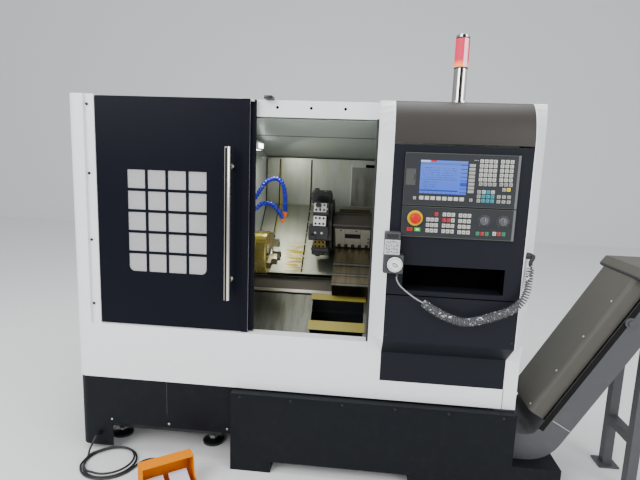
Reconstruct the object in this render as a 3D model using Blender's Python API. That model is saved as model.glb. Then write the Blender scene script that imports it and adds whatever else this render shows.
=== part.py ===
"""Slant-bed CNC turning lathe with its sliding door open, a control column, a chip conveyor and a foot switch.

Metres, +Z up. The working frame has x = 0 at the middle of the enclosure, y = 0 at the white front
plane (+y goes back into the machine) and z = 0 on the floor. An empty shifts it all so that the
origin lies under the middle of the whole machine. Slope coordinates (u, n) run up the slanted bed
and straight out of it; incline coordinates (s, n) do the same for the chip conveyor.
"""
import math

import bmesh
import bpy
from mathutils import Matrix, Vector

# Sheet metal and fits
SKIN = 0.003
LINER = 0.002
GAP = 0.0003
OVERRUN = 0.005
LAP = 0.003
EDGE_ROUND = 0.002

# Enclosure
ENCLOSURE_WIDTH = 1.925
ENCLOSURE_DEPTH = 1.300
ENCLOSURE_BOTTOM = 0.366
ENCLOSURE_TOP = 1.605
CORNER_RADIUS = 0.040
RETURN_DEPTH = 0.075
CORNER_STEPS = 5
SIDE_PANEL_RAISE = 0.008
SIDE_PANEL_MARGIN = 0.140
ROOF_LIP = 0.012

# Doorway and fixed front
PILLAR_WIDTH = 0.0735
STRIP_WIDTH = 0.041
STRIP_RECESS = 0.012
SILL_TOP = 0.618
RECESS_DEPTH = 0.055
BOTTOM_LIP = 0.030
DOORWAY_WIDTH = 0.637
COLUMN_WIDTH = 0.6255
FOLD_WIDTH = 0.020
FOLD_DEPTH = 0.008
FOLD_SHARES = (0.36, 0.72)

# Top rail
RAIL_BOTTOM = 1.535
RAIL_TOP = 1.600
RAIL_FRONT = 0.050
RAIL_BACK = 0.0777
RAIL_BAR = 0.012

# Sliding door
DOOR_WIDTH = 0.662
DOOR_SIDE_CLEARANCE = 0.003
DOOR_SILL_CLEARANCE = 0.004
DOOR_TOP = 1.600
DOOR_FRONT = 0.014
DOOR_DEPTH = 0.030
DOOR_SKIN = 0.002
WINDOW_WIDTH = 0.344
WINDOW_HEIGHT = 0.438
WINDOW_FROM_LEFT = 0.135
WINDOW_FROM_BOTTOM = 0.240
WINDOW_BAR = 0.012
WINDOW_COLUMNS = 4
WINDOW_ROWS = 5
WINDOW_CORNER = 0.022
GLASS_MARGIN = 0.012
GLASS_THICKNESS = 0.004
EDGE_STRIP_WIDTH = 0.030
EDGE_STRIP_PROUD = 0.006
DOOR_FLANGE_WIDTH = 0.020
DOOR_FLANGE_DEPTH = 0.014
HANGER_WIDTH = 0.060
HANGER_DROP = 0.045
HANDLE_DIAMETER = 0.028
HANDLE_LENGTH = 0.632
HANDLE_FROM_EDGE = 0.077
HANDLE_FROM_BOTTOM = 0.152
HANDLE_STANDOFF = 0.054
STANDOFF_DIAMETER = 0.016
STANDOFF_INSET = 0.078
STANDOFF_FLANGE = 0.026
FLANGE_THICKNESS = 0.003

# Control column
COLUMN_PROUD = 0.088
COLUMN_SLANT = 0.055
COLUMN_CHEEK = 0.0525
CHEEK_FRONT = 0.020
SLOPE_START_Z = 0.580
SLOPE_END_Z = 0.660
HOOD_BOTTOM = 1.442
HOOD_STEPS = 6
FACE_MARGIN = 0.003
FACE_BOTTOM = 0.452
HOOD_END_DEG = 83.0
SEAM_Z = 0.853
SEAM_WIDTH = 0.003
SEAM_DEPTH = 0.001
HOOD_GAP = 0.006
SHELF_FROM_LEFT = 0.065
SHELF_WIDTH = 0.386
SHELF_BOTTOM = 0.874
SHELF_HEIGHT = 0.102
SHELF_DEPTH = 0.100

# Controls, of the usual 420 mm width
UNIT_FROM_LEFT = 0.047
UNIT_WIDTH = 0.420
UNIT_THICKNESS = 0.008
DISPLAY_BOTTOM = 1.2093
DISPLAY_HEIGHT = 0.198
OPERATOR_BOTTOM = 1.089
OPERATOR_HEIGHT = 0.118
SCREEN_FROM_LEFT = 0.0585
SCREEN_FROM_TOP = 0.027
SCREEN_WIDTH = 0.173
SCREEN_HEIGHT = 0.124
SCREEN_SINK = 0.002
FLAP_WIDTH = 0.037
FLAP_HEIGHT = 0.062
FLAP_FROM_LEFT = 0.006
FLAP_FROM_BOTTOM = 0.076
FLAP_THICKNESS = 0.0024
FLAP_SINK = 0.0030
FLAP_CLEARANCE = 0.0006
ESTOP_FROM_LEFT = 0.050
ESTOP_FROM_BOTTOM = 0.072
ESTOP_COLLAR = 0.058
ESTOP_COLLAR_HEIGHT = 0.004
ESTOP_HEAD = 0.040
ESTOP_NECK = 0.020
ESTOP_HEIGHT = 0.018
ESTOP_TRAVEL = 0.004
ESTOP_STEM = 0.010
STEM_CLEARANCE = 0.0004
KEY_WIDTH = 0.022
KEY_HEIGHT = 0.014
KEY_PROUD = 0.003
KEY_TRAVEL = 0.002
KEY_POCKET = 0.006
STOP_FROM_LEFT = 0.032
START_FROM_LEFT = 0.061
KEYS_FROM_BOTTOM = 0.029
FEED_FROM_LEFT = 0.3065
SPEED_FROM_LEFT = 0.3760
KNOBS_FROM_BOTTOM = 0.0725
KNOB_DIAMETER = 0.026
KNOB_SKIRT = 0.032
KNOB_HEIGHT = 0.018
KNOB_STEM = 0.008
KNOB_STEM_LENGTH = 0.006
KNOB_RIB = 0.004

# Signal tower
TOWER_FROM_RIGHT = 0.3225
TOWER_Y = 0.045
TOWER_DIAMETER = 0.052
TOWER_FLANGE = 0.070
TOWER_FLANGE_HEIGHT = 0.006
TOWER_POLE_HEIGHT = 0.126
TOWER_LENS_HEIGHT = 0.110
TOWER_CAP_HEIGHT = 0.012
TOWER_NECK = 0.046
TOWER_NECK_HEIGHT = 0.008

# Hand pendant
PENDANT_FROM_LEFT = 0.040
PENDANT_WIDTH = 0.077
PENDANT_BOTTOM = 0.947
PENDANT_HEIGHT = 0.161
PENDANT_GRIP_WIDTH = 0.0605
PENDANT_BASE_HEIGHT = 0.074
PENDANT_DEPTH = 0.046
PENDANT_ROUND = 0.006
PENDANT_PLATE = 0.003
PENDANT_DIAL_FROM_LEFT = 0.044
PENDANT_DIAL_FROM_BOTTOM = 0.037
PENDANT_DIAL_DIAMETER = 0.058
PENDANT_DIAL_HEIGHT = 0.010
PENDANT_STEM_HOLE = 0.010
PENDANT_STEM_LENGTH = 0.005
PENDANT_NOSE = 0.012
PENDANT_NOSE_LENGTH = 0.014
PENDANT_NOSE_FROM_LEFT = 0.056

# Pendant cord: thin lead, then the curly cord in its sleeve, then the gland on the column's cheek
LEAD_DIAMETER = 0.006
SLEEVE_DIAMETER = 0.034
LEAD_POINTS = ((0.433, -0.1113, 0.9325), (0.433, -0.1125, 0.922), (0.444, -0.123, 0.903),
               (0.462, -0.124, 0.886), (0.487, -0.124, 0.867), (0.515, -0.124, 0.849),
               (0.540, -0.124, 0.8363))
SLEEVE_POINTS = ((0.5405, -0.124, 0.8360), (0.586, -0.124, 0.808), (0.645, -0.124, 0.782),
                 (0.703, -0.125, 0.771), (0.757, -0.125, 0.783), (0.820, -0.126, 0.806),
                 (0.872, -0.126, 0.832), (0.903, -0.124, 0.862), (0.922, -0.112, 0.900),
                 (0.930, -0.099, 0.940), (0.932, -0.093, 0.972), (0.932, -0.093, 1.000))
SLEEVE_STEP = 0.018
LEAD_STEP = 0.010
GLAND_Z = 1.034
GLAND_DIAMETER = 0.022
GLAND_LENGTH = 0.016
GLAND_DROP = 0.024
GLAND_SHARE = 0.75

# Base
BASE_SIDE_INSET = 0.0625
BASE_STEP_X = -0.320
BASE_FRONT = 0.100
BASE_STEP_Y = 0.430
BASE_BACK_INSET = 0.100
BASE_BOTTOM = 0.070
BASE_TOP = 0.5997
PAD_DIAMETER = 0.100
PAD_HEIGHT = 0.022
PAD_STEM = 0.030
PAD_INSET = 0.060
COVER_FRONT = 0.006
COVER_SIDE_INSET = 0.001
COVER_BOTTOM = 0.142
COVER_RETURN_INSET = 0.150
COVER_FOOT_WIDTH = 0.1555
COVER_FOOT_BOTTOM = 0.028
COVER_FOOT_RETURN = 0.250
FOOT_GLAND_FROM_LEFT = 0.0935
FOOT_GLAND_Z = 0.090
FOOT_GLAND_DIAMETER = 0.020
FOOT_GLAND_LENGTH = 0.022

# Coolant tank
TANK_LEFT = -0.240
TANK_REACH = 0.1975
TANK_FRONT = -0.042
TANK_BACK = 0.410
TANK_DECK = 0.135
TANK_SKIRT_TOP = 0.360
TANK_SKIRT_INSET = 0.001
TANK_SKIRT_DEPTH = 0.040
TANK_LIFT = 0.052
TANK_FOOT_LEFT = 0.179
TANK_FOOT_RIGHT = 0.420

# Slanted bed and its covers
SLOPE_Y = 0.400
SLOPE_Z = 0.800
SLOPE_DEG = 45.0
BED_LEFT_INSET = 0.1125
BED_RIGHT_INSET = 0.0825
BED_SINK = 0.060
BED_START_U = 0.020
BED_END_U = 0.450
BED_FRONT_Y = 0.450
BED_BACK_TOP_INSET = 0.350
BED_BACK_INSET = 0.250
RAIL_SINK = 0.030
BED_RAIL_WIDTH = 0.040
BED_RAIL_U = (0.060, 0.360)
BED_RAIL_LEFT = -0.240
BACK_Y = 0.720
BACK_TOP = 1.379

# Splash guard round the cutting zone
WALL_LEFT = -0.262
WALL_RIGHT_INSET = 0.0625
ROOF_FRONT_Y = 0.078
ROOF_FRONT_Z = 1.530
ROOF_BEND_Y = 0.350
ROOF_BEND_Z = 1.475
ROOF_BACK_Z = 1.3850
WALL_BACK_Y = 0.738
WALL_CLEAR_N = 0.020
WALL_END_U = 0.460
WALL_LOW_U = -0.400
WALL_LOW_Y = 0.100
WALL_LOW_Z = 0.450

# Chip chute
CHUTE_SINK = 0.030
CHUTE_TOP_U = -0.010
CHUTE_END_U = -0.420
CHUTE_LIP = 0.020
CHUTE_DROP_Z = 0.300
CHUTE_FRONT_Y = 0.0757
CHUTE_FRONT_TOP = 0.598
PIT_LEFT = 0.065
PIT_WIDTH = 0.250
PIT_TOP_U = -0.078
PIT_BAR_WIDTH = 0.046
PIT_BAR_U = (-0.078, -0.240)
PIT_BAR_THICKNESS = 0.004

# Headstock, spindle and chuck
SPINDLE_U = -0.010
SPINDLE_N = 0.195
HEADSTOCK_INSET = 0.1625
HEADSTOCK_SHARES = ((0.00, 0.00), (0.78, 1.00), (0.60, 1.00), (0.20, 0.80), (0.06, 0.52), (0.14, 0.15))
HEADSTOCK_FRONT_Y = 0.080
HEADSTOCK_BACK_Y = 0.700
HEADSTOCK_LOW_Z = 0.740
HEADSTOCK_TOP_Z = 1.140
NOSE_RADIUS = 0.120
NOSE_PROUD = 0.026
SPINDLE_RADIUS = 0.045
SPINDLE_BORE = 0.026
SPINDLE_TAIL = 0.045
PULLEY_RADIUS = 0.085
PULLEY_WIDTH = 0.032
CHUCK_RADIUS = 0.100
CHUCK_LENGTH = 0.098
CHUCK_CHAMFER = 0.006
CHUCK_GROOVE = 0.003
JAW_COUNT = 3
JAW_WIDTH = 0.034
JAW_INNER = 0.030
JAW_OUTER = 0.094
JAW_STEP_RADIUS = 0.064
JAW_STEP = 0.021
JAW_LENGTH = 0.044
JAW_FIRST_DEG = 90.0

# Saddle, cross slide and turret
SADDLE_LEFT = 0.160
SADDLE_RIGHT = 0.330
SADDLE_U = (0.040, 0.430)
SADDLE_COVER_LEFT = -0.010
SADDLE_COVER_RIGHT = 0.660
MID_COVER_LEFT = -0.186
MID_COVER_RIGHT = 0.0997
FIXED_LEFT_COVER_END = -0.070
FIXED_RIGHT_COVER_START = 0.530
SADDLE_TOP_N = 0.060
SADDLE_LOW_U = -0.114
APRON_MARGIN = 0.007
CROSS_COVER_N = 0.108
CROSS_COVER_END_U = 0.020
CROSS_MID_U = (-0.064, 0.072)
CROSS_MID_THICKNESS = 0.002
CROSS_TOP_U = -0.010
SLIDE_SIDE_INSET = 0.005
SLIDE_U = (0.100, 0.340)
SLIDE_TOP_N = 0.118
TURRET_U = 0.180
TURRET_N = 0.195
HOUSING_LEFT = 0.147
HOUSING_RIGHT = 0.335
HOUSING_U = (0.107, 0.175)
HOUSING_TOP_N = 0.275
HOUSING_BASE_U = (0.115, 0.285)
HOUSING_BASE_N = 0.160
HOUSING_ROUND = 0.006
TURRET_MOTOR_RADIUS = 0.055
TURRET_MOTOR_LENGTH = 0.120
CLAMP_LEFT = 0.161
CLAMP_WIDTH = 0.168
CLAMP_N = (0.121, 0.264)
CLAMP_THICKNESS = 0.010
CLAMP_RECESS_WIDTH = 0.074
CLAMP_RECESS_HEIGHT = 0.034
CLAMP_RECESS_DEPTH = 0.006
BOLT_COUNT = 5
BOLT_RADIUS = 0.007
BOLT_HEIGHT = 0.008
DISC_LEFT = 0.070
DISC_FLAT_RADIUS = 0.112
DISC_GAP = 0.0003
STATION_COUNT = 8
HOLDER_TOP_RADIUS = 0.160
HOLDER_LEFT = 0.044
HOLDER_RIGHT = 0.132
HOLDER_WIDTH = 0.066
HOLDER_CHAMFER = 0.008
TOOL_RADIUS = 0.177
TOOL_SHANK = 0.020
TOOL_INSET = 0.012
TURRET_SHAFT_RADIUS = 0.030
TURRET_SHAFT_LENGTH = 0.028
FIRST_STATION_DEG = 12.0

# Work lamp
LAMP_DEPTH_Y = (0.300, 0.420)
LAMP_WIDTH = 0.045
LAMP_HEIGHT = 0.040
LAMP_TOP = 1.448
LAMP_ROUND = 0.008

# Coolant hoses: route shares run from the wall (0) to the nozzle (1) in reach, and in rise
HOSE_RADIUS = 0.0095
HOSE_NECK_RADIUS = 0.0072
HOSE_BEAD = 0.015
HOSE_SIDES = 8
HOSE_WALL_RADIUS = 0.0125
NOZZLE_LENGTH = 0.040
NOZZLE_TIP_RADIUS = 0.004
UPPER_HOSE_Y = 0.352
UPPER_HOSE_Z = 1.080
UPPER_HOSE_REACH = 0.168
UPPER_HOSE_RISE = 0.192
UPPER_HOSE_SHARES = ((0.00, 0.46), (0.10, 0.56), (0.24, 0.76), (0.40, 0.92), (0.60, 1.00), (0.80, 0.99),
                     (0.94, 0.86), (1.00, 0.62), (1.02, 0.36), (1.01, 0.00))
LOWER_HOSE_Y = 0.318
LOWER_HOSE_Z = 1.066
LOWER_HOSE_REACH = 0.170
LOWER_HOSE_RISE = 0.090
LOWER_HOSE_SHARES = ((0.00, 0.56), (0.16, 0.74), (0.30, 0.96), (0.50, 1.00), (0.68, 0.90), (0.84, 0.62),
                     (0.94, 0.34), (1.00, 0.00))

# Electrical cabinet on the back
CABINET_WIDTH = 0.900
CABINET_DEPTH = 0.260
CABINET_BOTTOM = 0.500
CABINET_TOP = 1.500
CABINET_LIP = 0.020
CABINET_DOOR_THICKNESS = 0.020
CABINET_HINGE_RADIUS = 0.006
CABINET_BOARD = 0.020
CABINET_UNIT_DEPTH = 0.110
CABINET_UNIT_HEIGHT = 0.240
CABINET_UNIT_COUNT = 3
CABINET_UNIT_SHARE = 0.62
CABINET_LOCK = 0.024
CABINET_LOCK_HEIGHT = 0.120

# Chip conveyor
CONVEYOR_FRONT = 0.020
CONVEYOR_BACK = 0.320
CONVEYOR_INSET = 0.005
CONVEYOR_SHEET = 0.004
CONVEYOR_HEIGHT = 0.116
CONVEYOR_BOTTOM = 0.1353
INCLINE_DEG = 60.0
BEND_REACH = 0.0705
BEND_RADIUS = 0.156
BEND_STEPS = 6
INCLINE_LENGTH = 0.782
DECK_INSET = 0.0625
COVER_START_S = 0.053
COVER_END_S = 0.745
COVER_HEIGHT = 0.068
COVER_SIDE = 0.015
COVER_ROUND = 0.024
COVER_ROUND_STEPS = 4
CONVEYOR_SKIN = 0.003
HEAD_REACH = 0.7375
HEAD_TOP = 0.972
HEAD_BOTTOM = 0.800
HEAD_THROAT = 0.080
DRIVE_INSET = 0.190
DRIVE_Z = 0.915
DRIVE_SHAFT_RADIUS = 0.014
DRIVE_BUSH_RADIUS = 0.030
SPROCKET_RADIUS = 0.042
SPROCKET_WIDTH = 0.012
SPROCKET_INSET = 0.040
HOOD_RISE = 0.985
HOOD_WIDTH = 0.295
HOOD_SIDE = 0.010
HOOD_CHEEK = 0.045
LEG_SIZE = 0.040
LEG_FROM_END = 0.230
LEG_FOOT = 0.090
LEG_FOOT_HEIGHT = 0.008
LEG_INSET = 0.030
LUG_RADIUS = 0.022
LUG_PROUD = 0.016
LUG_S = 0.585
MOTOR_RADIUS = 0.060
MOTOR_LENGTH = 0.150
GEARBOX_SIZE = 0.110
GEARBOX_LENGTH = 0.090
GEARBOX_RISE = 0.022
GEARBOX_SHIFT = 0.035

# Foot switch
PEDAL_FRAME_X = -0.492
PEDAL_FRAME_Y = -0.160
PEDAL_FRAME_DEG = 37.0
GUARD_WIDTH = 0.210
GUARD_DEPTH = 0.190
GUARD_HEIGHT = 0.130
GUARD_WALL = 0.004
GUARD_FLOOR = 0.008
GUARD_BACK_HEIGHT = 0.112
GUARD_ROOF_START = 0.022
GUARD_ROOF_END = 0.078
GUARD_SIDE_LOW = 0.034
GUARD_SHOULDER = 0.046
GUARD_SHOULDER_LENGTH = 0.012
PEDAL_WIDTH = 0.074
PEDAL_GAP = 0.022
PEDAL_OFFSET = 0.008
PEDAL_LENGTH = 0.118
PEDAL_THICKNESS = 0.009
PEDAL_PIVOT_DEPTH = 0.170
PEDAL_PIVOT_Z = 0.024
PEDAL_PIVOT_RADIUS = 0.008
PEDAL_RISE_DEG = 20.0
PIVOT_EAR = 0.008

# Foot cable: loose outer turn, and the ring of the two inner turns
FOOT_CABLE_DIAMETER = 0.009
FOOT_CABLE_POINTS = ((-0.8680, -0.0164, 0.0900), (-0.8680, -0.0310, 0.0900), (-0.8770, -0.0450, 0.0640),
                     (-0.8915, -0.0540, 0.0320), (-0.8970, -0.0640, 0.0100), (-0.8965, -0.0850, 0.0050),
                     (-0.8797, -0.1385, 0.0050), (-0.8354, -0.1827, 0.0050), (-0.7750, -0.1989, 0.0050),
                     (-0.7146, -0.1827, 0.0050), (-0.6703, -0.1385, 0.0050), (-0.6555, -0.0975, 0.0050),
                     (-0.6380, -0.0560, 0.0060), (-0.6100, -0.0360, 0.0080), (-0.5780, -0.0420, 0.0130),
                     (-0.5500, -0.0700, 0.0210), (-0.5341, -0.1042, 0.0280), (-0.5184, -0.1247, 0.0300),
                     (-0.4972, -0.1531, 0.0300))
FOOT_CABLE_STEP = 0.020
FOOT_COIL_X = -0.775
FOOT_COIL_Y = -0.078
FOOT_COIL_RADIUS = 0.104
FOOT_COIL_SECTION = 0.021
FOOT_COIL_STEPS = 32
FOOT_PLUG_RADIUS = 0.008

# Worked out from the sizes above
LEFT = -ENCLOSURE_WIDTH / 2
RIGHT = ENCLOSURE_WIDTH / 2
COLUMN_LEFT = RIGHT - COLUMN_WIDTH
PENDANT_LEFT = COLUMN_LEFT + PENDANT_FROM_LEFT
BASE_LEFT = LEFT + BASE_SIDE_INSET
BASE_RIGHT = RIGHT - BASE_SIDE_INSET
BASE_BACK = ENCLOSURE_DEPTH - BASE_BACK_INSET
COVER_LEFT = LEFT + COVER_SIDE_INSET
COVER_RETURN = ENCLOSURE_DEPTH - COVER_RETURN_INSET
COVER_FOOT_RIGHT = COVER_LEFT + COVER_FOOT_WIDTH
FOOT_GLAND_X = COVER_LEFT + FOOT_GLAND_FROM_LEFT
TANK_RIGHT = RIGHT + TANK_REACH
TANK_SKIRT_RIGHT = RIGHT - TANK_SKIRT_INSET
BED_LEFT = LEFT + BED_LEFT_INSET
BED_RIGHT = RIGHT - BED_RIGHT_INSET
BED_BACK_TOP_Y = ENCLOSURE_DEPTH - BED_BACK_TOP_INSET
BED_BACK_Y = ENCLOSURE_DEPTH - BED_BACK_INSET
WALL_RIGHT = RIGHT - WALL_RIGHT_INSET
HEADSTOCK_LEFT = LEFT + HEADSTOCK_INSET
CONVEYOR_LEFT = TANK_LEFT + CONVEYOR_INSET
DECK_START_X = RIGHT - DECK_INSET
BEND_START_X = RIGHT + BEND_REACH
HEAD_RIGHT = RIGHT + HEAD_REACH
HEAD_THROAT_X = HEAD_RIGHT - HEAD_THROAT
DRIVE_X = HEAD_RIGHT - DRIVE_INSET
HOOD_RIDGE_X = HEAD_RIGHT - HOOD_WIDTH
LEG_X = HEAD_RIGHT - LEG_FROM_END
STRIP_LEFT = LEFT + PILLAR_WIDTH
RECESS_LEFT = STRIP_LEFT + STRIP_WIDTH
DOOR_LEFT = RECESS_LEFT + DOOR_SIDE_CLEARANCE
DOOR_RIGHT = DOOR_LEFT + DOOR_WIDTH
DOOR_BOTTOM = SILL_TOP + DOOR_SILL_CLEARANCE
FACE_LEFT = COLUMN_LEFT + COLUMN_SLANT + FACE_MARGIN
FACE_RIGHT = RIGHT - COLUMN_CHEEK - FACE_MARGIN
UNIT_LEFT = COLUMN_LEFT + COLUMN_SLANT + UNIT_FROM_LEFT
UNIT_BACK_Y = -COLUMN_PROUD - GAP
UNIT_FRONT_Y = UNIT_BACK_Y - UNIT_THICKNESS
CABINET_BACK = ENCLOSURE_DEPTH + GAP + CABINET_DEPTH + GAP + CABINET_DOOR_THICKNESS
FOOT_SWITCH_DROP = GUARD_DEPTH * math.cos(math.radians(PEDAL_FRAME_DEG)) + GUARD_WIDTH / 2 * math.sin(
    math.radians(PEDAL_FRAME_DEG))
CENTRE_X = (LEFT + HEAD_RIGHT) / 2
CENTRE_Y = (PEDAL_FRAME_Y - FOOT_SWITCH_DROP + CABINET_BACK) / 2
COVER_RIGHT = TANK_LEFT - GAP
COVER_LIFT_MID = LINER + GAP
COVER_LIFT_SADDLE = 2 * COVER_LIFT_MID
CROSS_TOP_N = CROSS_COVER_N + CROSS_MID_THICKNESS + 2 * GAP
SLOPE_COS = math.cos(math.radians(SLOPE_DEG))
SLOPE_SIN = math.sin(math.radians(SLOPE_DEG))
INCLINE_COS = math.cos(math.radians(INCLINE_DEG))
INCLINE_SIN = math.sin(math.radians(INCLINE_DEG))
INCLINE_X = BEND_START_X + BEND_RADIUS * INCLINE_SIN
INCLINE_Z = CONVEYOR_BOTTOM + BEND_RADIUS * (1 - INCLINE_COS)

COLOURS = {
    "white_paint": ((0.80, 0.81, 0.82), 0.35, 0.0),
    "door_paint": ((0.013, 0.015, 0.024), 0.38, 0.0),
    "console_paint": ((0.028, 0.031, 0.042), 0.55, 0.0),
    "hood_paint": ((0.050, 0.046, 0.045), 0.5, 0.0),
    "base_paint": ((0.016, 0.019, 0.025), 0.5, 0.0),
    "conveyor_paint": ((0.075, 0.073, 0.066), 0.5, 0.0),
    "stainless": ((0.50, 0.51, 0.47), 0.32, 0.9),
    "liner_grey": ((0.42, 0.46, 0.42), 0.45, 0.2),
    "cast_iron": ((0.16, 0.17, 0.17), 0.6, 0.4),
    "steel": ((0.55, 0.55, 0.54), 0.3, 1.0),
    "black_oxide": ((0.025, 0.025, 0.027), 0.4, 0.6),
    "clear_window": ((0.75, 0.80, 0.80), 0.1, 0.0),
    "plastic_dark": ((0.035, 0.037, 0.042), 0.5, 0.0),
    "hose_blue": ((0.015, 0.022, 0.60), 0.4, 0.0),
    "cable_black": ((0.012, 0.012, 0.013), 0.55, 0.0),
    "sleeve_clear": ((0.30, 0.31, 0.33), 0.25, 0.0),
    "red_plastic": ((0.70, 0.02, 0.015), 0.35, 0.0),
    "green_plastic": ((0.01, 0.50, 0.05), 0.35, 0.0),
    "guard_orange": ((0.90, 0.30, 0.010), 0.4, 0.0),
    "pedal_grey": ((0.42, 0.40, 0.45), 0.6, 0.0),
    "knob_grey": ((0.10, 0.11, 0.12), 0.5, 0.0),
    "dial_white": ((0.75, 0.75, 0.74), 0.35, 0.0),
    "lamp_body": ((0.70, 0.72, 0.74), 0.3, 0.3),
}


def slope(u, n):
    """The (y, z) of a point u up the slanted bed and n out of it."""
    return (SLOPE_Y + SLOPE_COS * u - SLOPE_SIN * n, SLOPE_Z + SLOPE_SIN * u + SLOPE_COS * n)


def incline(s, n):
    """The (x, z) of a point s up the conveyor's incline and n out of its floor."""
    return (INCLINE_X + INCLINE_COS * s - INCLINE_SIN * n, INCLINE_Z + INCLINE_SIN * s + INCLINE_COS * n)


# Mesh tools

def solid(vertices, faces, flat=True):
    """An object from points and faces, its faces turned outwards; faces that aren't flat are split."""
    mesh = bpy.data.meshes.new("piece")
    mesh.from_pydata(vertices, [], faces)
    work = bmesh.new()
    work.from_mesh(mesh)
    if not flat:
        bmesh.ops.triangulate(work, faces=work.faces[:])
    bmesh.ops.recalc_face_normals(work, faces=work.faces)
    work.to_mesh(mesh)
    work.free()
    piece = bpy.data.objects.new("piece", mesh)
    bpy.context.collection.objects.link(piece)
    return piece


def in_space(point, level, axis):
    """A flat outline's point at a level along the axis that it is extruded on."""
    a, b = point
    return {"X": (level, a, b), "Y": (a, level, b), "Z": (a, b, level)}[axis]


def prism(outline, lo, hi, axis, holes=()):
    """An outline, with holes, extruded along an axis."""
    if not holes:
        n = len(outline)
        vertices = [in_space(p, level, axis) for level in (lo, hi) for p in outline]
        faces = [tuple(range(n)), tuple(range(n, 2 * n))]
        faces += [(i, (i + 1) % n, n + (i + 1) % n, n + i) for i in range(n)]
        return solid(vertices, faces)
    work = bmesh.new()
    for loop in (outline, *holes):
        corners = [work.verts.new(in_space(p, lo, axis)) for p in loop]
        for i, corner in enumerate(corners):
            work.edges.new((corner, corners[(i + 1) % len(corners)]))
    bmesh.ops.triangle_fill(work, use_beauty=True, use_dissolve=False, edges=work.edges[:])
    flat = work.faces[:]
    moved = bmesh.ops.extrude_face_region(work, geom=flat)["geom"]
    shift = Vector(in_space((0, 0), hi - lo, axis))
    for item in moved:
        if isinstance(item, bmesh.types.BMVert):
            item.co += shift
    bmesh.ops.recalc_face_normals(work, faces=work.faces)
    mesh = bpy.data.meshes.new("piece")
    work.to_mesh(mesh)
    work.free()
    piece = bpy.data.objects.new("piece", mesh)
    bpy.context.collection.objects.link(piece)
    return piece


def rectangle(a, b):
    return [(a[0], b[0]), (a[1], b[0]), (a[1], b[1]), (a[0], b[1])]


def block(x, y, z):
    return prism(rectangle(x, y), z[0], z[1], "Z")


def sloped_block(x, u, n):
    """A box that lies square to the slanted bed."""
    return prism([slope(*p) for p in rectangle(u, n)], x[0], x[1], "X")


def offset_path(path, distance):
    """The path moved to its left by a distance, with mitred corners."""
    moved = []
    for i, point in enumerate(path):
        here = Vector(point)
        before = (here - Vector(path[i - 1])).normalized() if i else None
        after = (Vector(path[i + 1]) - here).normalized() if i + 1 < len(path) else None
        first, second = before or after, after or before
        normals = [Vector((-d.y, d.x)) for d in (first, second)]
        middle = (normals[0] + normals[1]).normalized()
        moved.append(tuple(here + middle * (distance / middle.dot(normals[0]))))
    return moved


def sheet(path, thickness, lo, hi, axis):
    """Folded sheet metal: a path with its thickness on the left, extruded along an axis."""
    return prism(list(path) + offset_path(path, thickness)[::-1], lo, hi, axis)


def loft(sections):
    """A closed solid through rings of points, capped at both ends."""
    n = len(sections[0])
    vertices = [p for ring in sections for p in ring]
    last = (len(sections) - 1) * n
    faces = [tuple(range(n)), tuple(range(last, last + n))]
    for k in range(len(sections) - 1):
        for i in range(n):
            j = (i + 1) % n
            faces.append((k * n + i, k * n + j, (k + 1) * n + j, (k + 1) * n + i))
    return solid(vertices, faces, False)


def arc(centre, radius, start_deg, end_deg, steps):
    angles = [math.radians(start_deg + (end_deg - start_deg) * i / steps) for i in range(steps + 1)]
    return [(centre[0] + radius * math.cos(a), centre[1] + radius * math.sin(a)) for a in angles]


def rounded(x, z, radius, steps=3, lower_only=False):
    """A rectangle with round corners, or with round lower corners only."""
    points = arc((x[0] + radius, z[0] + radius), radius, 180, 270, steps)
    points += arc((x[1] - radius, z[0] + radius), radius, 270, 360, steps)
    if lower_only:
        return points + [(x[1], z[1]), (x[0], z[1])]
    points += arc((x[1] - radius, z[1] - radius), radius, 0, 90, steps)
    return points + arc((x[0] + radius, z[1] - radius), radius, 90, 180, steps)


def turned(profile, at, along, steps=24, bore=0.0):
    """A turned piece: (radius, height) pairs from one end to the other, with an optional bore."""
    rings = [(r, h) for r, h in profile]
    if bore:
        rings = rings + [(bore, rings[-1][1]), (bore, rings[0][1])]
    turn = Vector((0, 0, 1)).rotation_difference(Vector(along)).to_matrix()
    vertices = []
    for r, h in rings:
        for i in range(steps):
            a = math.tau * i / steps
            vertices.append(tuple(Vector(at) + turn @ Vector((r * math.cos(a), r * math.sin(a), h))))
    faces = []
    pairs = [(k, k + 1) for k in range(len(rings) - 1)]
    if bore:
        pairs.append((len(rings) - 1, 0))
    else:
        last = (len(rings) - 1) * steps
        faces += [tuple(range(steps)), tuple(range(last, last + steps))]
    for k, m in pairs:
        for i in range(steps):
            j = (i + 1) % steps
            faces.append((k * steps + i, k * steps + j, m * steps + j, m * steps + i))
    return solid(vertices, faces)


def cylinder(radius, start, end, steps=24):
    length = (Vector(end) - Vector(start)).length
    return turned([(radius, 0), (radius, length)], start, Vector(end) - Vector(start), steps)


def smooth_route(points, step):
    """Points about a step apart on a smooth curve through the given ones."""
    p = [Vector(q) for q in points]
    p = [2 * p[0] - p[1]] + p + [2 * p[-1] - p[-2]]
    route = []
    for i in range(1, len(p) - 2):
        count = max(1, round((p[i + 1] - p[i]).length / step))
        for k in range(count):
            t = k / count
            bend = (2 * p[i - 1] - 5 * p[i] + 4 * p[i + 1] - p[i + 2]) * t ** 2
            twist = (3 * p[i] - p[i - 1] - 3 * p[i + 1] + p[i + 2]) * t ** 3
            route.append((2 * p[i] + (p[i + 1] - p[i - 1]) * t + bend + twist) / 2)
    return route + [p[-2]]


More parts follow.
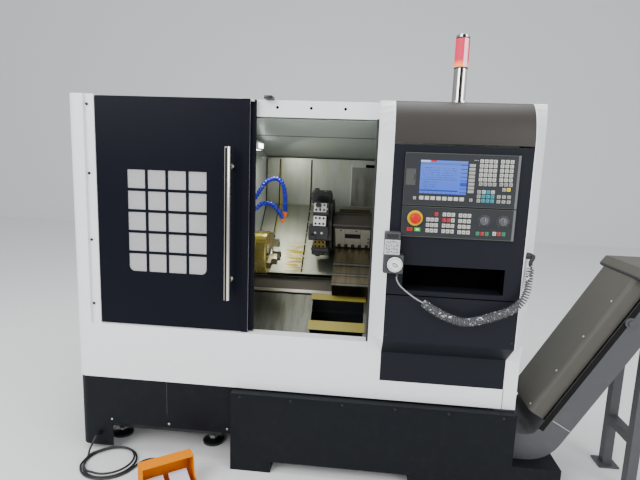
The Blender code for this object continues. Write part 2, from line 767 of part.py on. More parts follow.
def swept(route, radii, sides):
    """A round solid along a route, with a radius at each of its points."""
    route = [Vector(q) for q in route]
    ways = [(route[min(i + 1, len(route) - 1)] - route[max(i - 1, 0)]).normalized() for i in range(len(route))]
    side = ways[0].orthogonal().normalized()
    rings = []
    for point, way, radius in zip(route, ways, radii):
        side = (side - way * side.dot(way)).normalized()
        other = way.cross(side)
        rings.append([tuple(point + side * (radius * math.cos(math.tau * k / sides))
                            + other * (radius * math.sin(math.tau * k / sides))) for k in range(sides)])
    return loft(rings)


def settle(piece):
    """Replaces a piece's mesh by what its modifiers make of it."""
    bpy.context.view_layer.update()
    evaluated = piece.evaluated_get(bpy.context.evaluated_depsgraph_get())
    mesh = bpy.data.meshes.new_from_object(evaluated)
    piece.modifiers.clear()
    piece.data = mesh
    return piece


def combine(operation, body, others):
    for other in others:
        step = body.modifiers.new(operation.lower(), "BOOLEAN")
        step.object = other
        step.operation = operation
        step.solver = "EXACT"
    settle(body)
    for other in others:
        bpy.data.objects.remove(other)
    return body


def joined(body, *others):
    return combine("UNION", body, others)


def cut(body, *others):
    return combine("DIFFERENCE", body, others)


def bevelled(piece, width, segments=2, angle_deg=40.0):
    edge = piece.modifiers.new("edges", "BEVEL")
    edge.width = width
    edge.segments = segments
    edge.limit_method = "ANGLE"
    edge.angle_limit = math.radians(angle_deg)
    edge.use_clamp_overlap = True
    return settle(piece)


def material(name):
    found = bpy.data.materials.get(name)
    if found:
        return found
    colour, roughness, metallic = COLOURS[name]
    made = bpy.data.materials.new(name)
    made.use_nodes = True
    shader = made.node_tree.nodes["Principled BSDF"]
    shader.inputs["Base Color"].default_value = (*colour, 1)
    shader.inputs["Roughness"].default_value = roughness
    shader.inputs["Metallic"].default_value = metallic
    return made


def named(piece, name, paint, origin=(0, 0, 0), parent="machine"):
    """Names a piece, paints it, puts its origin where asked and hangs it on its frame."""
    piece.name = name
    piece.data.name = name
    if piece.type == "MESH":
        piece.data.transform(Matrix.Translation(-Vector(origin)))
        piece.data.shade_smooth()
        piece.data.set_sharp_from_angle(angle=math.radians(32))
    piece.location = origin
    piece.data.materials.clear()
    piece.data.materials.append(material(paint))
    piece.parent = bpy.data.objects[parent]
    return piece


def cord(points, step, diameter, name, paint):
    """A plain round cord along a smooth route."""
    route = smooth_route(points, step)
    curve = bpy.data.curves.new(name, "CURVE")
    curve.dimensions = "3D"
    curve.bevel_depth = diameter / 2
    curve.bevel_resolution = 2
    curve.use_fill_caps = True
    line = curve.splines.new("POLY")
    line.points.add(len(route) - 1)
    for target, point in zip(line.points, route):
        target.co = (*point, 1)
    piece = bpy.data.objects.new(name, curve)
    bpy.context.collection.objects.link(piece)
    return named(piece, name, paint)


# Enclosure

def front_panel():
    """Left pillar, apron under the doorway and the fixed panel behind the open door, one folded sheet."""
    outer = [(LEFT, RETURN_DEPTH)]
    outer += arc((LEFT + CORNER_RADIUS, CORNER_RADIUS), CORNER_RADIUS, 180, 270, CORNER_STEPS)
    outer += [(STRIP_LEFT, 0), (STRIP_LEFT, STRIP_RECESS), (RECESS_LEFT, STRIP_RECESS),
              (RECESS_LEFT, RECESS_DEPTH + SKIN)]
    pillar = sheet(outer, SKIN, ENCLOSURE_BOTTOM, ENCLOSURE_TOP, "Z")
    cap = prism(outer[:-1] + [(RECESS_LEFT, RETURN_DEPTH)], ENCLOSURE_TOP - SKIN, ENCLOSURE_TOP, "Z")
    fold = [(RECESS_DEPTH + SKIN, SILL_TOP), (0, SILL_TOP), (0, ENCLOSURE_BOTTOM), (BOTTOM_LIP, ENCLOSURE_BOTTOM)]
    apron = sheet(fold, SKIN, STRIP_LEFT - LAP, COLUMN_LEFT - GAP, "X")
    doorway_left = COLUMN_LEFT - DOORWAY_WIDTH
    ripple = [(RECESS_LEFT - SKIN, RECESS_DEPTH)]
    for share in FOLD_SHARES:
        x = RECESS_LEFT + share * (doorway_left - RECESS_LEFT)
        ripple += [(x - FOLD_WIDTH, RECESS_DEPTH), (x, RECESS_DEPTH + FOLD_DEPTH), (x + FOLD_WIDTH, RECESS_DEPTH)]
    ripple += [(doorway_left, RECESS_DEPTH), (doorway_left, RETURN_DEPTH)]
    fixed = sheet(ripple, SKIN, SILL_TOP - LAP, RAIL_BOTTOM - LAP, "Z")
    named(joined(pillar, cap, apron, fixed), "front_panel", "white_paint")


def side_cover(name, inner, outer):
    """A side of the enclosure, with the raised panel that gives access to the drives."""
    x = sorted((inner, outer))
    plate = block(x, (RETURN_DEPTH + GAP, ENCLOSURE_DEPTH - SKIN - GAP),
                  (ENCLOSURE_BOTTOM, ENCLOSURE_TOP - SKIN - GAP))
    raised = sorted((inner, outer - math.copysign(SIDE_PANEL_RAISE, outer)))
    y = (RETURN_DEPTH + SIDE_PANEL_MARGIN, ENCLOSURE_DEPTH - SIDE_PANEL_MARGIN)
    z = (ENCLOSURE_BOTTOM + SIDE_PANEL_MARGIN, ENCLOSURE_TOP - SIDE_PANEL_MARGIN)
    panel = prism(rounded(y, z, CORNER_RADIUS), raised[0], raised[1], "X")
    named(joined(plate, panel), name, "white_paint")


def roof_cover():
    plate = block((LEFT, RIGHT), (RETURN_DEPTH + GAP, ENCLOSURE_DEPTH), (ENCLOSURE_TOP - SKIN, ENCLOSURE_TOP))
    lip = block((LEFT + SKIN + LAP, RIGHT - SKIN - LAP),
                (ENCLOSURE_DEPTH - 2 * SKIN - LAP, ENCLOSURE_DEPTH - SKIN - LAP),
                (ENCLOSURE_TOP - ROOF_LIP, ENCLOSURE_TOP - SKIN / 2))
    named(joined(plate, lip), "roof_cover", "white_paint")


def rear_cover():
    named(block((LEFT, RIGHT), (ENCLOSURE_DEPTH - SKIN, ENCLOSURE_DEPTH),
                (ENCLOSURE_BOTTOM, ENCLOSURE_TOP - SKIN - GAP)), "rear_cover", "white_paint")


def top_rail():
    """The beam over the doorway and the round bar that the door rolls on."""
    path = [(RAIL_BACK, RAIL_TOP), (RAIL_FRONT, RAIL_TOP), (RAIL_FRONT, RAIL_BOTTOM), (RAIL_BACK, RAIL_BOTTOM)]
    x = (RECESS_LEFT + GAP, COLUMN_LEFT - GAP)
    beam = sheet(path, SKIN, x[0], x[1], "X")
    middle = (RAIL_BOTTOM + RAIL_TOP) / 2
    bar = block(x, (RAIL_FRONT + SKIN / 2, RAIL_FRONT + SKIN + RAIL_BAR), (middle - RAIL_BAR, middle + RAIL_BAR))
    named(joined(beam, bar), "top_rail", "white_paint")


# Sliding door

def door():
    back = DOOR_FRONT + DOOR_DEPTH
    x, z = (DOOR_LEFT, DOOR_RIGHT), (DOOR_BOTTOM, DOOR_TOP)
    window_x = DOOR_LEFT + WINDOW_FROM_LEFT
    window_z = DOOR_BOTTOM + WINDOW_FROM_BOTTOM
    wide = (WINDOW_WIDTH - WINDOW_BAR * (WINDOW_COLUMNS - 1)) / WINDOW_COLUMNS
    high = (WINDOW_HEIGHT - WINDOW_BAR * (WINDOW_ROWS - 1)) / WINDOW_ROWS
    panes = []
    for column in range(WINDOW_COLUMNS):
        for row in range(WINDOW_ROWS):
            left = window_x + column * (wide + WINDOW_BAR)
            low = window_z + row * (high + WINDOW_BAR)
            pane = rectangle((left, left + wide), (low, low + high))
            if row == 0 and column == 0:
                pane = arc((left + WINDOW_CORNER, low + WINDOW_CORNER), WINDOW_CORNER, 180, 270, 3) + pane[1:]
            if row == 0 and column == WINDOW_COLUMNS - 1:
                corner = (left + wide - WINDOW_CORNER, low + WINDOW_CORNER)
                pane = pane[:1] + arc(corner, WINDOW_CORNER, 270, 360, 3) + pane[2:]
            panes.append(pane)
    skin = prism(rectangle(x, z), DOOR_FRONT, DOOR_FRONT + DOOR_SKIN, "Y", panes)
    inner = rectangle((x[0] + DOOR_SKIN, x[1] - DOOR_SKIN), (z[0] + DOOR_SKIN, z[1] - DOOR_SKIN))
    rim = prism(rectangle(x, z), DOOR_FRONT + DOOR_SKIN / 2, back, "Y", [inner])
    strip = block((x[1] - EDGE_STRIP_WIDTH, x[1]), (DOOR_FRONT - EDGE_STRIP_PROUD, DOOR_FRONT + DOOR_SKIN / 2), z)
    hangers = [block((left, left + HANGER_WIDTH), (back - DOOR_SKIN, RAIL_FRONT - GAP), (z[1] - HANGER_DROP, z[1]))
               for left in (x[0] + HANGER_WIDTH, x[1] - 2 * HANGER_WIDTH)]
    tops = [block((left, left + HANGER_WIDTH), (DOOR_FRONT + DOOR_SKIN / 2, back), (z[1] - HANGER_DROP, z[1]))
            for left in (x[0] + HANGER_WIDTH, x[1] - 2 * HANGER_WIDTH)]
    flange = block((x[1] - DOOR_SKIN / 2, x[1] + DOOR_FLANGE_WIDTH), (back - DOOR_FLANGE_DEPTH, back), z)
    named(joined(skin, rim, strip, flange, *tops, *hangers), "door_panel", "door_paint")
    glass = rounded((window_x - GLASS_MARGIN, window_x + WINDOW_WIDTH + GLASS_MARGIN),
                    (window_z - GLASS_MARGIN, window_z + WINDOW_HEIGHT + GLASS_MARGIN), WINDOW_CORNER)
    start = DOOR_FRONT + DOOR_SKIN + GAP
    named(prism(glass, start, start + GLASS_THICKNESS, "Y"), "window_glass", "clear_window")
    grip_x, grip_y = DOOR_RIGHT - HANDLE_FROM_EDGE, DOOR_FRONT - HANDLE_STANDOFF
    low = DOOR_BOTTOM + HANDLE_FROM_BOTTOM
    grip = cylinder(HANDLE_DIAMETER / 2, (grip_x, grip_y, low), (grip_x, grip_y, low + HANDLE_LENGTH), 16)
    posts = [turned([(STANDOFF_DIAMETER / 2, 0), (STANDOFF_DIAMETER / 2, HANDLE_STANDOFF - GAP - FLANGE_THICKNESS),
                     (STANDOFF_FLANGE / 2, HANDLE_STANDOFF - GAP - FLANGE_THICKNESS),
                     (STANDOFF_FLANGE / 2, HANDLE_STANDOFF - GAP)], (grip_x, grip_y, z0), (0, 1, 0), 16)
             for z0 in (low + STANDOFF_INSET, low + HANDLE_LENGTH - STANDOFF_INSET)]
    named(joined(grip, *posts), "door_handle", "steel")


# Control column

def proud_at(z):
    """How far the column stands out of the front plane at a height."""
    if z <= SLOPE_START_Z:
        return 0.0
    if z < SLOPE_END_Z:
        return COLUMN_PROUD * (z - SLOPE_START_Z) / (SLOPE_END_Z - SLOPE_START_Z)
    share = max(0.0, (z - HOOD_BOTTOM) / (ENCLOSURE_TOP - HOOD_BOTTOM))
    return COLUMN_PROUD * math.sqrt(max(0.0, 1 - share ** 2))


def hood_levels(end_deg, steps):
    """Heights up the hood's quarter ellipse."""
    angles = [math.radians(end_deg * k / steps) for k in range(steps + 1)]
    return [HOOD_BOTTOM + (ENCLOSURE_TOP - HOOD_BOTTOM) * math.sin(a) for a in angles]


def console_housing():
    """The white column: a lofted sheet whose front stands out, with the cut-out for the dark face."""
    sections = []
    for z in [ENCLOSURE_BOTTOM, SLOPE_START_Z, SLOPE_END_Z] + hood_levels(90.0, HOOD_STEPS):
        proud = proud_at(z)
        left = COLUMN_LEFT
        path = [(left, RETURN_DEPTH), (left, 0), (left + COLUMN_SLANT, -proud), (RIGHT - COLUMN_CHEEK, -proud),
                (RIGHT, -proud * CHEEK_FRONT / COLUMN_PROUD), (RIGHT, RETURN_DEPTH)]
        ring = path + offset_path(path, SKIN)[::-1]
        sections.append([(x, y, z) for x, y in ring])
    wall = loft(sections)
    top = block((COLUMN_LEFT, RIGHT), (0, RETURN_DEPTH), (ENCLOSURE_TOP - SKIN, ENCLOSURE_TOP))
    window = block((FACE_LEFT, FACE_RIGHT), (-COLUMN_PROUD - OVERRUN, SKIN + OVERRUN),
                   (FACE_BOTTOM, hood_levels(HOOD_END_DEG, 1)[1]))
    body = cut(joined(wall, top), window)
    share = GLAND_SHARE
    middle = (RIGHT - COLUMN_CHEEK * share, -CHEEK_FRONT - (COLUMN_PROUD - CHEEK_FRONT) * share, GLAND_Z)
    out = Vector((COLUMN_PROUD - CHEEK_FRONT, -COLUMN_CHEEK, 0)).normalized()
    start = Vector(middle) - out * SKIN / 2
    nut = cylinder(GLAND_DIAMETER / 2, start, start + out * GLAND_LENGTH, 8)
    tip = start + out * GLAND_LENGTH * 1.5
    foot = Vector(SLEEVE_POINTS[-1]) + Vector((0, 0, 3 * GAP))
    route = smooth_route([start + out * GLAND_LENGTH / 2, tip, foot + Vector((0, 0, GLAND_DROP / 2)), foot],
                         LEAD_DIAMETER)
    elbow = swept(route, [LEAD_DIAMETER * 0.7] * len(route), 8)
    named(joined(body, nut, elbow), "console_housing", "white_paint")


def console_face():
    """The dark front of the column with its shelf recess and the seam between its two plates."""
    path = [(-COLUMN_PROUD, HOOD_BOTTOM - HOOD_GAP), (-COLUMN_PROUD, SLOPE_END_Z), (0, SLOPE_START_Z),
            (0, FACE_BOTTOM + GAP)]
    x = (FACE_LEFT + GAP, FACE_RIGHT - GAP)
    face = sheet(path, SKIN, x[0], x[1], "X")
    left = COLUMN_LEFT + COLUMN_SLANT + SHELF_FROM_LEFT
    shelf_x, shelf_z = (left, left + SHELF_WIDTH), (SHELF_BOTTOM, SHELF_BOTTOM + SHELF_HEIGHT)
    depth = (-COLUMN_PROUD + SKIN / 2, -COLUMN_PROUD + SHELF_DEPTH + SKIN)
    tray = block((shelf_x[0] - SKIN, shelf_x[1] + SKIN), depth, (shelf_z[0] - SKIN, shelf_z[1] + SKIN))
    pocket = block(shelf_x, (-COLUMN_PROUD - OVERRUN, -COLUMN_PROUD + SHELF_DEPTH), shelf_z)
    seam = block((x[0] - OVERRUN, x[1] + OVERRUN), (-COLUMN_PROUD - OVERRUN, -COLUMN_PROUD + SEAM_DEPTH),
                 (SEAM_Z, SEAM_Z + SEAM_WIDTH))
    named(cut(joined(face, tray), pocket, seam), "console_face", "console_paint")


def console_hood():
    levels = hood_levels(HOOD_END_DEG, HOOD_STEPS)
    path = [(-proud_at(z), z) for z in levels[::-1]]
    path[0] = (path[0][0], path[0][1] - GAP)
    path.append((-COLUMN_PROUD + SKIN * 2, HOOD_BOTTOM))
    named(sheet(path, SKIN, FACE_LEFT + GAP, FACE_RIGHT - GAP, "X"), "console_hood", "hood_paint")


def unit_plate(bottom, height):
    plate = block((UNIT_LEFT, UNIT_LEFT + UNIT_WIDTH), (UNIT_FRONT_Y, UNIT_BACK_Y), (bottom, bottom + height))
    return bevelled(plate, EDGE_ROUND, 1)


def front_pocket(x, z, depth):
    return block(x, (UNIT_FRONT_Y - OVERRUN, UNIT_FRONT_Y + depth), z)


def display_unit():
    plate = unit_plate(DISPLAY_BOTTOM, DISPLAY_HEIGHT)
    top = DISPLAY_BOTTOM + DISPLAY_HEIGHT - SCREEN_FROM_TOP
    left = UNIT_LEFT + SCREEN_FROM_LEFT
    screen = front_pocket((left, left + SCREEN_WIDTH), (top - SCREEN_HEIGHT, top), SCREEN_SINK)
    flap_x = UNIT_LEFT + FLAP_FROM_LEFT
    flap_z = DISPLAY_BOTTOM + FLAP_FROM_BOTTOM
    seat = front_pocket((flap_x - FLAP_CLEARANCE, flap_x + FLAP_WIDTH + FLAP_CLEARANCE),
                        (flap_z - FLAP_CLEARANCE, flap_z + FLAP_HEIGHT + FLAP_CLEARANCE), FLAP_SINK)
    named(cut(plate, screen, seat), "display_unit", "plastic_dark")
    y = UNIT_FRONT_Y + FLAP_SINK - GAP
    flap = block((flap_x, flap_x + FLAP_WIDTH), (y - FLAP_THICKNESS, y), (flap_z, flap_z + FLAP_HEIGHT))
    named(flap, "access_flap", "plastic_dark", (flap_x, y - FLAP_THICKNESS, flap_z + FLAP_HEIGHT / 2))


def operator_panel():
    plate = unit_plate(OPERATOR_BOTTOM, OPERATOR_HEIGHT)
    estop = (UNIT_LEFT + ESTOP_FROM_LEFT, UNIT_FRONT_Y, OPERATOR_BOTTOM + ESTOP_FROM_BOTTOM)
    collar = turned([(ESTOP_COLLAR / 2, -EDGE_ROUND), (ESTOP_COLLAR / 2, ESTOP_COLLAR_HEIGHT - EDGE_ROUND),
                     (ESTOP_COLLAR / 2 - EDGE_ROUND, ESTOP_COLLAR_HEIGHT)], estop, (0, -1, 0), 24)
    holes = [cylinder(ESTOP_STEM / 2 + STEM_CLEARANCE, (estop[0], estop[1] - ESTOP_COLLAR_HEIGHT - OVERRUN, estop[2]),
                      (estop[0], UNIT_BACK_Y + OVERRUN, estop[2]), 12)]
    key_z = OPERATOR_BOTTOM + KEYS_FROM_BOTTOM
    for from_left in (STOP_FROM_LEFT, START_FROM_LEFT):
        x = UNIT_LEFT + from_left
        holes.append(front_pocket((x - KEY_WIDTH / 2 - GAP, x + KEY_WIDTH / 2 + GAP),
                                  (key_z - KEY_HEIGHT / 2 - GAP, key_z + KEY_HEIGHT / 2 + GAP), KEY_POCKET))
    knob_z = OPERATOR_BOTTOM + KNOBS_FROM_BOTTOM
    for from_left in (FEED_FROM_LEFT, SPEED_FROM_LEFT):
        x = UNIT_LEFT + from_left
        holes.append(cylinder(KNOB_STEM / 2 + STEM_CLEARANCE, (x, UNIT_FRONT_Y - OVERRUN, knob_z),
                              (x, UNIT_BACK_Y + OVERRUN, knob_z), 12))
    named(cut(joined(plate, collar), *holes), "operator_panel", "plastic_dark")
    clear = ESTOP_COLLAR_HEIGHT + ESTOP_TRAVEL + GAP
    head = [(ESTOP_STEM / 2, -UNIT_THICKNESS + ESTOP_TRAVEL + GAP), (ESTOP_STEM / 2, clear), (ESTOP_NECK / 2, clear),
            (ESTOP_HEAD / 2 - EDGE_ROUND, clear + ESTOP_HEIGHT / 3), (ESTOP_HEAD / 2, clear + ESTOP_HEIGHT / 2),
            (ESTOP_HEAD / 2 - EDGE_ROUND, clear + ESTOP_HEIGHT - EDGE_ROUND * 2),
            (ESTOP_NECK / 2, clear + ESTOP_HEIGHT)]
    named(turned(head, estop, (0, -1, 0), 24), "estop_button", "red_plastic", estop)
    for name, from_left, paint in (("stop_button", STOP_FROM_LEFT, "red_plastic"),
                                   ("start_button", START_FROM_LEFT, "green_plastic")):
        x = UNIT_LEFT + from_left
        deep = KEY_POCKET - KEY_TRAVEL - GAP
        key = block((x - KEY_WIDTH / 2, x + KEY_WIDTH / 2), (UNIT_FRONT_Y - KEY_PROUD, UNIT_FRONT_Y + deep),
                    (key_z - KEY_HEIGHT / 2, key_z + KEY_HEIGHT / 2))
        named(key, name, paint, (x, UNIT_FRONT_Y, key_z))
    for name, from_left in (("feed_knob", FEED_FROM_LEFT), ("speed_knob", SPEED_FROM_LEFT)):
        at = (UNIT_LEFT + from_left, UNIT_FRONT_Y, knob_z)
        profile = [(KNOB_STEM / 2, -KNOB_STEM_LENGTH), (KNOB_STEM / 2, GAP), (KNOB_SKIRT / 2, GAP),
                   (KNOB_SKIRT / 2, KNOB_RIB), (KNOB_DIAMETER / 2, KNOB_RIB * 1.5),
                   (KNOB_DIAMETER / 2 - EDGE_ROUND / 2, KNOB_HEIGHT)]
        rib = block((at[0] - KNOB_RIB / 2, at[0] + KNOB_RIB / 2),
                    (at[1] - KNOB_HEIGHT - KNOB_RIB, at[1] - KNOB_RIB),
                    (at[2] - KNOB_DIAMETER * 0.42, at[2] + KNOB_DIAMETER * 0.42))
        named(joined(turned(profile, at, (0, -1, 0), 16), rib), name, "knob_grey", at)


def signal_tower():
    at = Vector((RIGHT - TOWER_FROM_RIGHT, TOWER_Y, ENCLOSURE_TOP + GAP))
    r = TOWER_DIAMETER / 2
    pole = [(TOWER_FLANGE / 2, 0), (TOWER_FLANGE / 2, TOWER_FLANGE_HEIGHT), (r, TOWER_FLANGE_HEIGHT),
            (r, TOWER_POLE_HEIGHT), (TOWER_NECK / 2, TOWER_POLE_HEIGHT),
            (TOWER_NECK / 2, TOWER_POLE_HEIGHT + TOWER_NECK_HEIGHT)]
    named(turned(pole, at, (0, 0, 1), 24), "tower_pole", "steel")
    up = at + Vector((0, 0, TOWER_POLE_HEIGHT + TOWER_NECK_HEIGHT + GAP))
    top = TOWER_LENS_HEIGHT + TOWER_CAP_HEIGHT
    lens = [(r, 0), (r, TOWER_LENS_HEIGHT), (r - EDGE_ROUND / 2, TOWER_LENS_HEIGHT),
            (r - EDGE_ROUND / 2, top - EDGE_ROUND * 2), (r - EDGE_ROUND * 3, top)]
    named(turned(lens, up, (0, 0, 1), 24), "tower_lens", "red_plastic")


def pendant():
    """The hand pendant that hangs on the column's left edge."""
    back = -COLUMN_PROUD - GAP
    x = (PENDANT_LEFT, PENDANT_LEFT + PENDANT_WIDTH)
    z = (PENDANT_BOTTOM, PENDANT_BOTTOM + PENDANT_HEIGHT)
    front = back - PENDANT_DEPTH
    base = bevelled(block(x, (front, back), (z[0], z[0] + PENDANT_BASE_HEIGHT)), PENDANT_ROUND, 2)
    grip_x = (x[0], x[0] + PENDANT_GRIP_WIDTH)
    low = z[0] + PENDANT_BASE_HEIGHT - 2 * PENDANT_ROUND
    grip = bevelled(block(grip_x, (front + GAP, back), (low, z[1])), PENDANT_ROUND, 2)
    dial_x = PENDANT_LEFT + PENDANT_DIAL_FROM_LEFT
    dial_z = PENDANT_BOTTOM + PENDANT_DIAL_FROM_BOTTOM
    split = dial_z + PENDANT_DIAL_DIAMETER / 2 + PENDANT_PLATE
    plate = block((grip_x[0] + PENDANT_ROUND, grip_x[1] - PENDANT_ROUND), (front - PENDANT_PLATE, front + PENDANT_PLATE),
                  (split, z[1] - PENDANT_HEIGHT / 4))
    nose_x = PENDANT_LEFT + PENDANT_NOSE_FROM_LEFT
    nose = turned([(PENDANT_NOSE / 2, 0), (PENDANT_NOSE / 2, PENDANT_ROUND),
                   (LEAD_DIAMETER * 0.7, PENDANT_NOSE_LENGTH + PENDANT_ROUND)],
                  (nose_x, (front + back) / 2, z[0] + PENDANT_ROUND), (0, 0, -1), 12)
    hole = cylinder(PENDANT_STEM_HOLE / 2 + STEM_CLEARANCE, (dial_x, front - OVERRUN, dial_z),
                    (dial_x, front + PENDANT_STEM_LENGTH + OVERRUN, dial_z), 12)
    named(cut(joined(base, grip, plate, nose), hole), "pendant_body", "plastic_dark")
    r = PENDANT_DIAL_DIAMETER / 2
    dial = turned([(PENDANT_STEM_HOLE / 2, -PENDANT_STEM_LENGTH), (PENDANT_STEM_HOLE / 2, GAP), (r, GAP),
                   (r, PENDANT_DIAL_HEIGHT - EDGE_ROUND), (r - EDGE_ROUND, PENDANT_DIAL_HEIGHT)],
                  (dial_x, front, dial_z), (0, -1, 0), 32)
    peg = cylinder(PENDANT_PLATE, (dial_x - r * 0.6, front - PENDANT_DIAL_HEIGHT / 2, dial_z - r * 0.3),
                   (dial_x - r * 0.6, front - PENDANT_DIAL_HEIGHT * 1.8, dial_z - r * 0.3), 8)
    named(joined(dial, peg), "pendant_dial", "dial_white", (dial_x, front, dial_z))
    cord(LEAD_POINTS, LEAD_STEP, LEAD_DIAMETER, "pendant_lead", "cable_black")
    cord(SLEEVE_POINTS, SLEEVE_STEP, SLEEVE_DIAMETER, "pendant_coil", "sleeve_clear")


# Base and tank

def base_casting():
    outline = [(BASE_LEFT, BASE_FRONT), (BASE_STEP_X, BASE_FRONT), (BASE_STEP_X, BASE_STEP_Y),
               (BASE_RIGHT, BASE_STEP_Y), (BASE_RIGHT, BASE_BACK), (BASE_LEFT, BASE_BACK)]
    body = prism(outline, BASE_BOTTOM, BASE_TOP, "Z")
    inset = PAD_INSET
    places = [(BASE_LEFT + inset, BASE_FRONT + inset), (BASE_STEP_X - inset, BASE_FRONT + inset),
              (BASE_RIGHT - inset, BASE_STEP_Y + inset), (BASE_RIGHT - inset, BASE_BACK - inset),
              (BASE_LEFT + inset, BASE_BACK - inset), (BASE_STEP_X, BASE_BACK - inset)]
    pads = [turned([(PAD_DIAMETER / 2, 0), (PAD_DIAMETER / 2, PAD_HEIGHT / 2), (PAD_STEM / 2, PAD_HEIGHT),
                    (PAD_STEM / 2, BASE_BOTTOM + OVERRUN)], (x, y, 0), (0, 0, 1), 16) for x, y in places]
    named(joined(body, *pads), "base_casting", "cast_iron")


def base_front_cover():
    """The dark plinth sheet at the left, its corner foot and the gland of the foot cable."""
    left = COVER_LEFT
    r = CORNER_RADIUS
    corner = arc((left + r, COVER_FRONT + r), r, 180, 270, CORNER_STEPS)
    upper = sheet([(left, COVER_RETURN)] + corner + [(COVER_RIGHT, COVER_FRONT)], SKIN, COVER_BOTTOM,
                  ENCLOSURE_BOTTOM - GAP, "Z")
    foot = sheet([(left, COVER_FOOT_RETURN)] + corner + [(COVER_FOOT_RIGHT, COVER_FRONT)], SKIN, COVER_FOOT_BOTTOM,
                 COVER_BOTTOM + LAP, "Z")
    gland = turned([(FOOT_GLAND_DIAMETER / 2, -SKIN / 2), (FOOT_GLAND_DIAMETER / 2, FOOT_GLAND_LENGTH / 2),
                    (FOOT_CABLE_DIAMETER * 0.7, FOOT_GLAND_LENGTH)], (FOOT_GLAND_X, COVER_FRONT, FOOT_GLAND_Z),
                   (0, -1, 0), 12)
    named(joined(upper, foot, gland), "base_front_cover", "base_paint")


def coolant_tank():
    """The tank: a low body under the conveyor, notched between its feet, with a high front skirt."""
    front = [(TANK_LEFT, 0), (TANK_LEFT + TANK_FOOT_LEFT, 0), (TANK_LEFT + TANK_FOOT_LEFT, TANK_LIFT),
             (TANK_SKIRT_RIGHT - TANK_FOOT_RIGHT, TANK_LIFT), (TANK_SKIRT_RIGHT - TANK_FOOT_RIGHT, 0),
             (TANK_RIGHT, 0), (TANK_RIGHT, TANK_DECK), (TANK_LEFT, TANK_DECK)]
    low = prism(front, TANK_FRONT, TANK_BACK, "Y")
    skirt = block((TANK_LEFT, TANK_SKIRT_RIGHT), (TANK_FRONT, TANK_FRONT + TANK_SKIRT_DEPTH),
                  (TANK_DECK - LAP, TANK_SKIRT_TOP))
    named(joined(low, skirt), "coolant_tank", "base_paint")


# Bed, splash guard and covers

def slant_bed():
    outline = [slope(BED_START_U, -BED_SINK), (BED_FRONT_Y, BASE_TOP + GAP), (BED_BACK_Y, BASE_TOP + GAP),
               (BED_BACK_TOP_Y, slope(BED_END_U, -BED_SINK)[1]), slope(BED_END_U, -BED_SINK)]
    bed = prism(outline, BED_LEFT, BED_RIGHT, "X")
    ways = [sloped_block((BED_RAIL_LEFT, BED_RIGHT), (u, u + BED_RAIL_WIDTH), (-BED_SINK - LAP, -RAIL_SINK))
            for u in BED_RAIL_U]
    named(joined(bed, *ways), "slant_bed", "cast_iron")


def splash_liner():
    """The roof and the two end walls of the cutting zone, with the hole for the spindle nose."""
    roof = [(BACK_Y + SKIN, ROOF_BACK_Z), (ROOF_BEND_Y, ROOF_BEND_Z), (ROOF_FRONT_Y, ROOF_FRONT_Z)]
    sheeting = sheet(roof, -LINER, WALL_LEFT, WALL_RIGHT, "X")
    wall = [(ROOF_FRONT_Y, ROOF_FRONT_Z), (ROOF_FRONT_Y, WALL_LOW_Z), (WALL_LOW_Y, WALL_LOW_Z),
            slope(WALL_LOW_U, -WALL_CLEAR_N), slope(WALL_END_U, -WALL_CLEAR_N), (WALL_BACK_Y, ROOF_BACK_Z),
            (BACK_Y, ROOF_BACK_Z + LINER / 2), (ROOF_BEND_Y, ROOF_BEND_Z + LINER / 2)]
    left = prism(wall, WALL_LEFT, WALL_LEFT + LINER, "X")
    right = prism(wall, WALL_RIGHT - LINER, WALL_RIGHT, "X")
    y, z = slope(SPINDLE_U, SPINDLE_N)
    hole = cylinder(NOSE_RADIUS + GAP, (WALL_LEFT - OVERRUN, y, z), (WALL_LEFT + OVERRUN, y, z), 32)
    named(cut(joined(sheeting, left, right), hole), "splash_liner", "liner_grey")


def cover_path(lift, low_u):
    """The bend line of a way cover, from its top edge down to its lower edge."""
    back = BACK_Y - lift
    bend_u = (back - SLOPE_Y + SLOPE_SIN * lift) / SLOPE_COS
    return [(back, BACK_TOP), slope(bend_u, lift), slope(low_u, lift)]


def way_covers():
    inside_left = WALL_LEFT + LINER + GAP
    inside_right = WALL_RIGHT - LINER - GAP
    named(sheet(cover_path(0, 0), LINER, inside_left, FIXED_LEFT_COVER_END, "X"), "way_cover_left", "stainless")
    named(sheet(cover_path(0, 0), LINER, FIXED_RIGHT_COVER_START, inside_right, "X"), "way_cover_right",
          "stainless")
    named(sheet(cover_path(COVER_LIFT_MID, 0), LINER, MID_COVER_LEFT, MID_COVER_RIGHT, "X"), "way_cover_middle",
          "stainless")


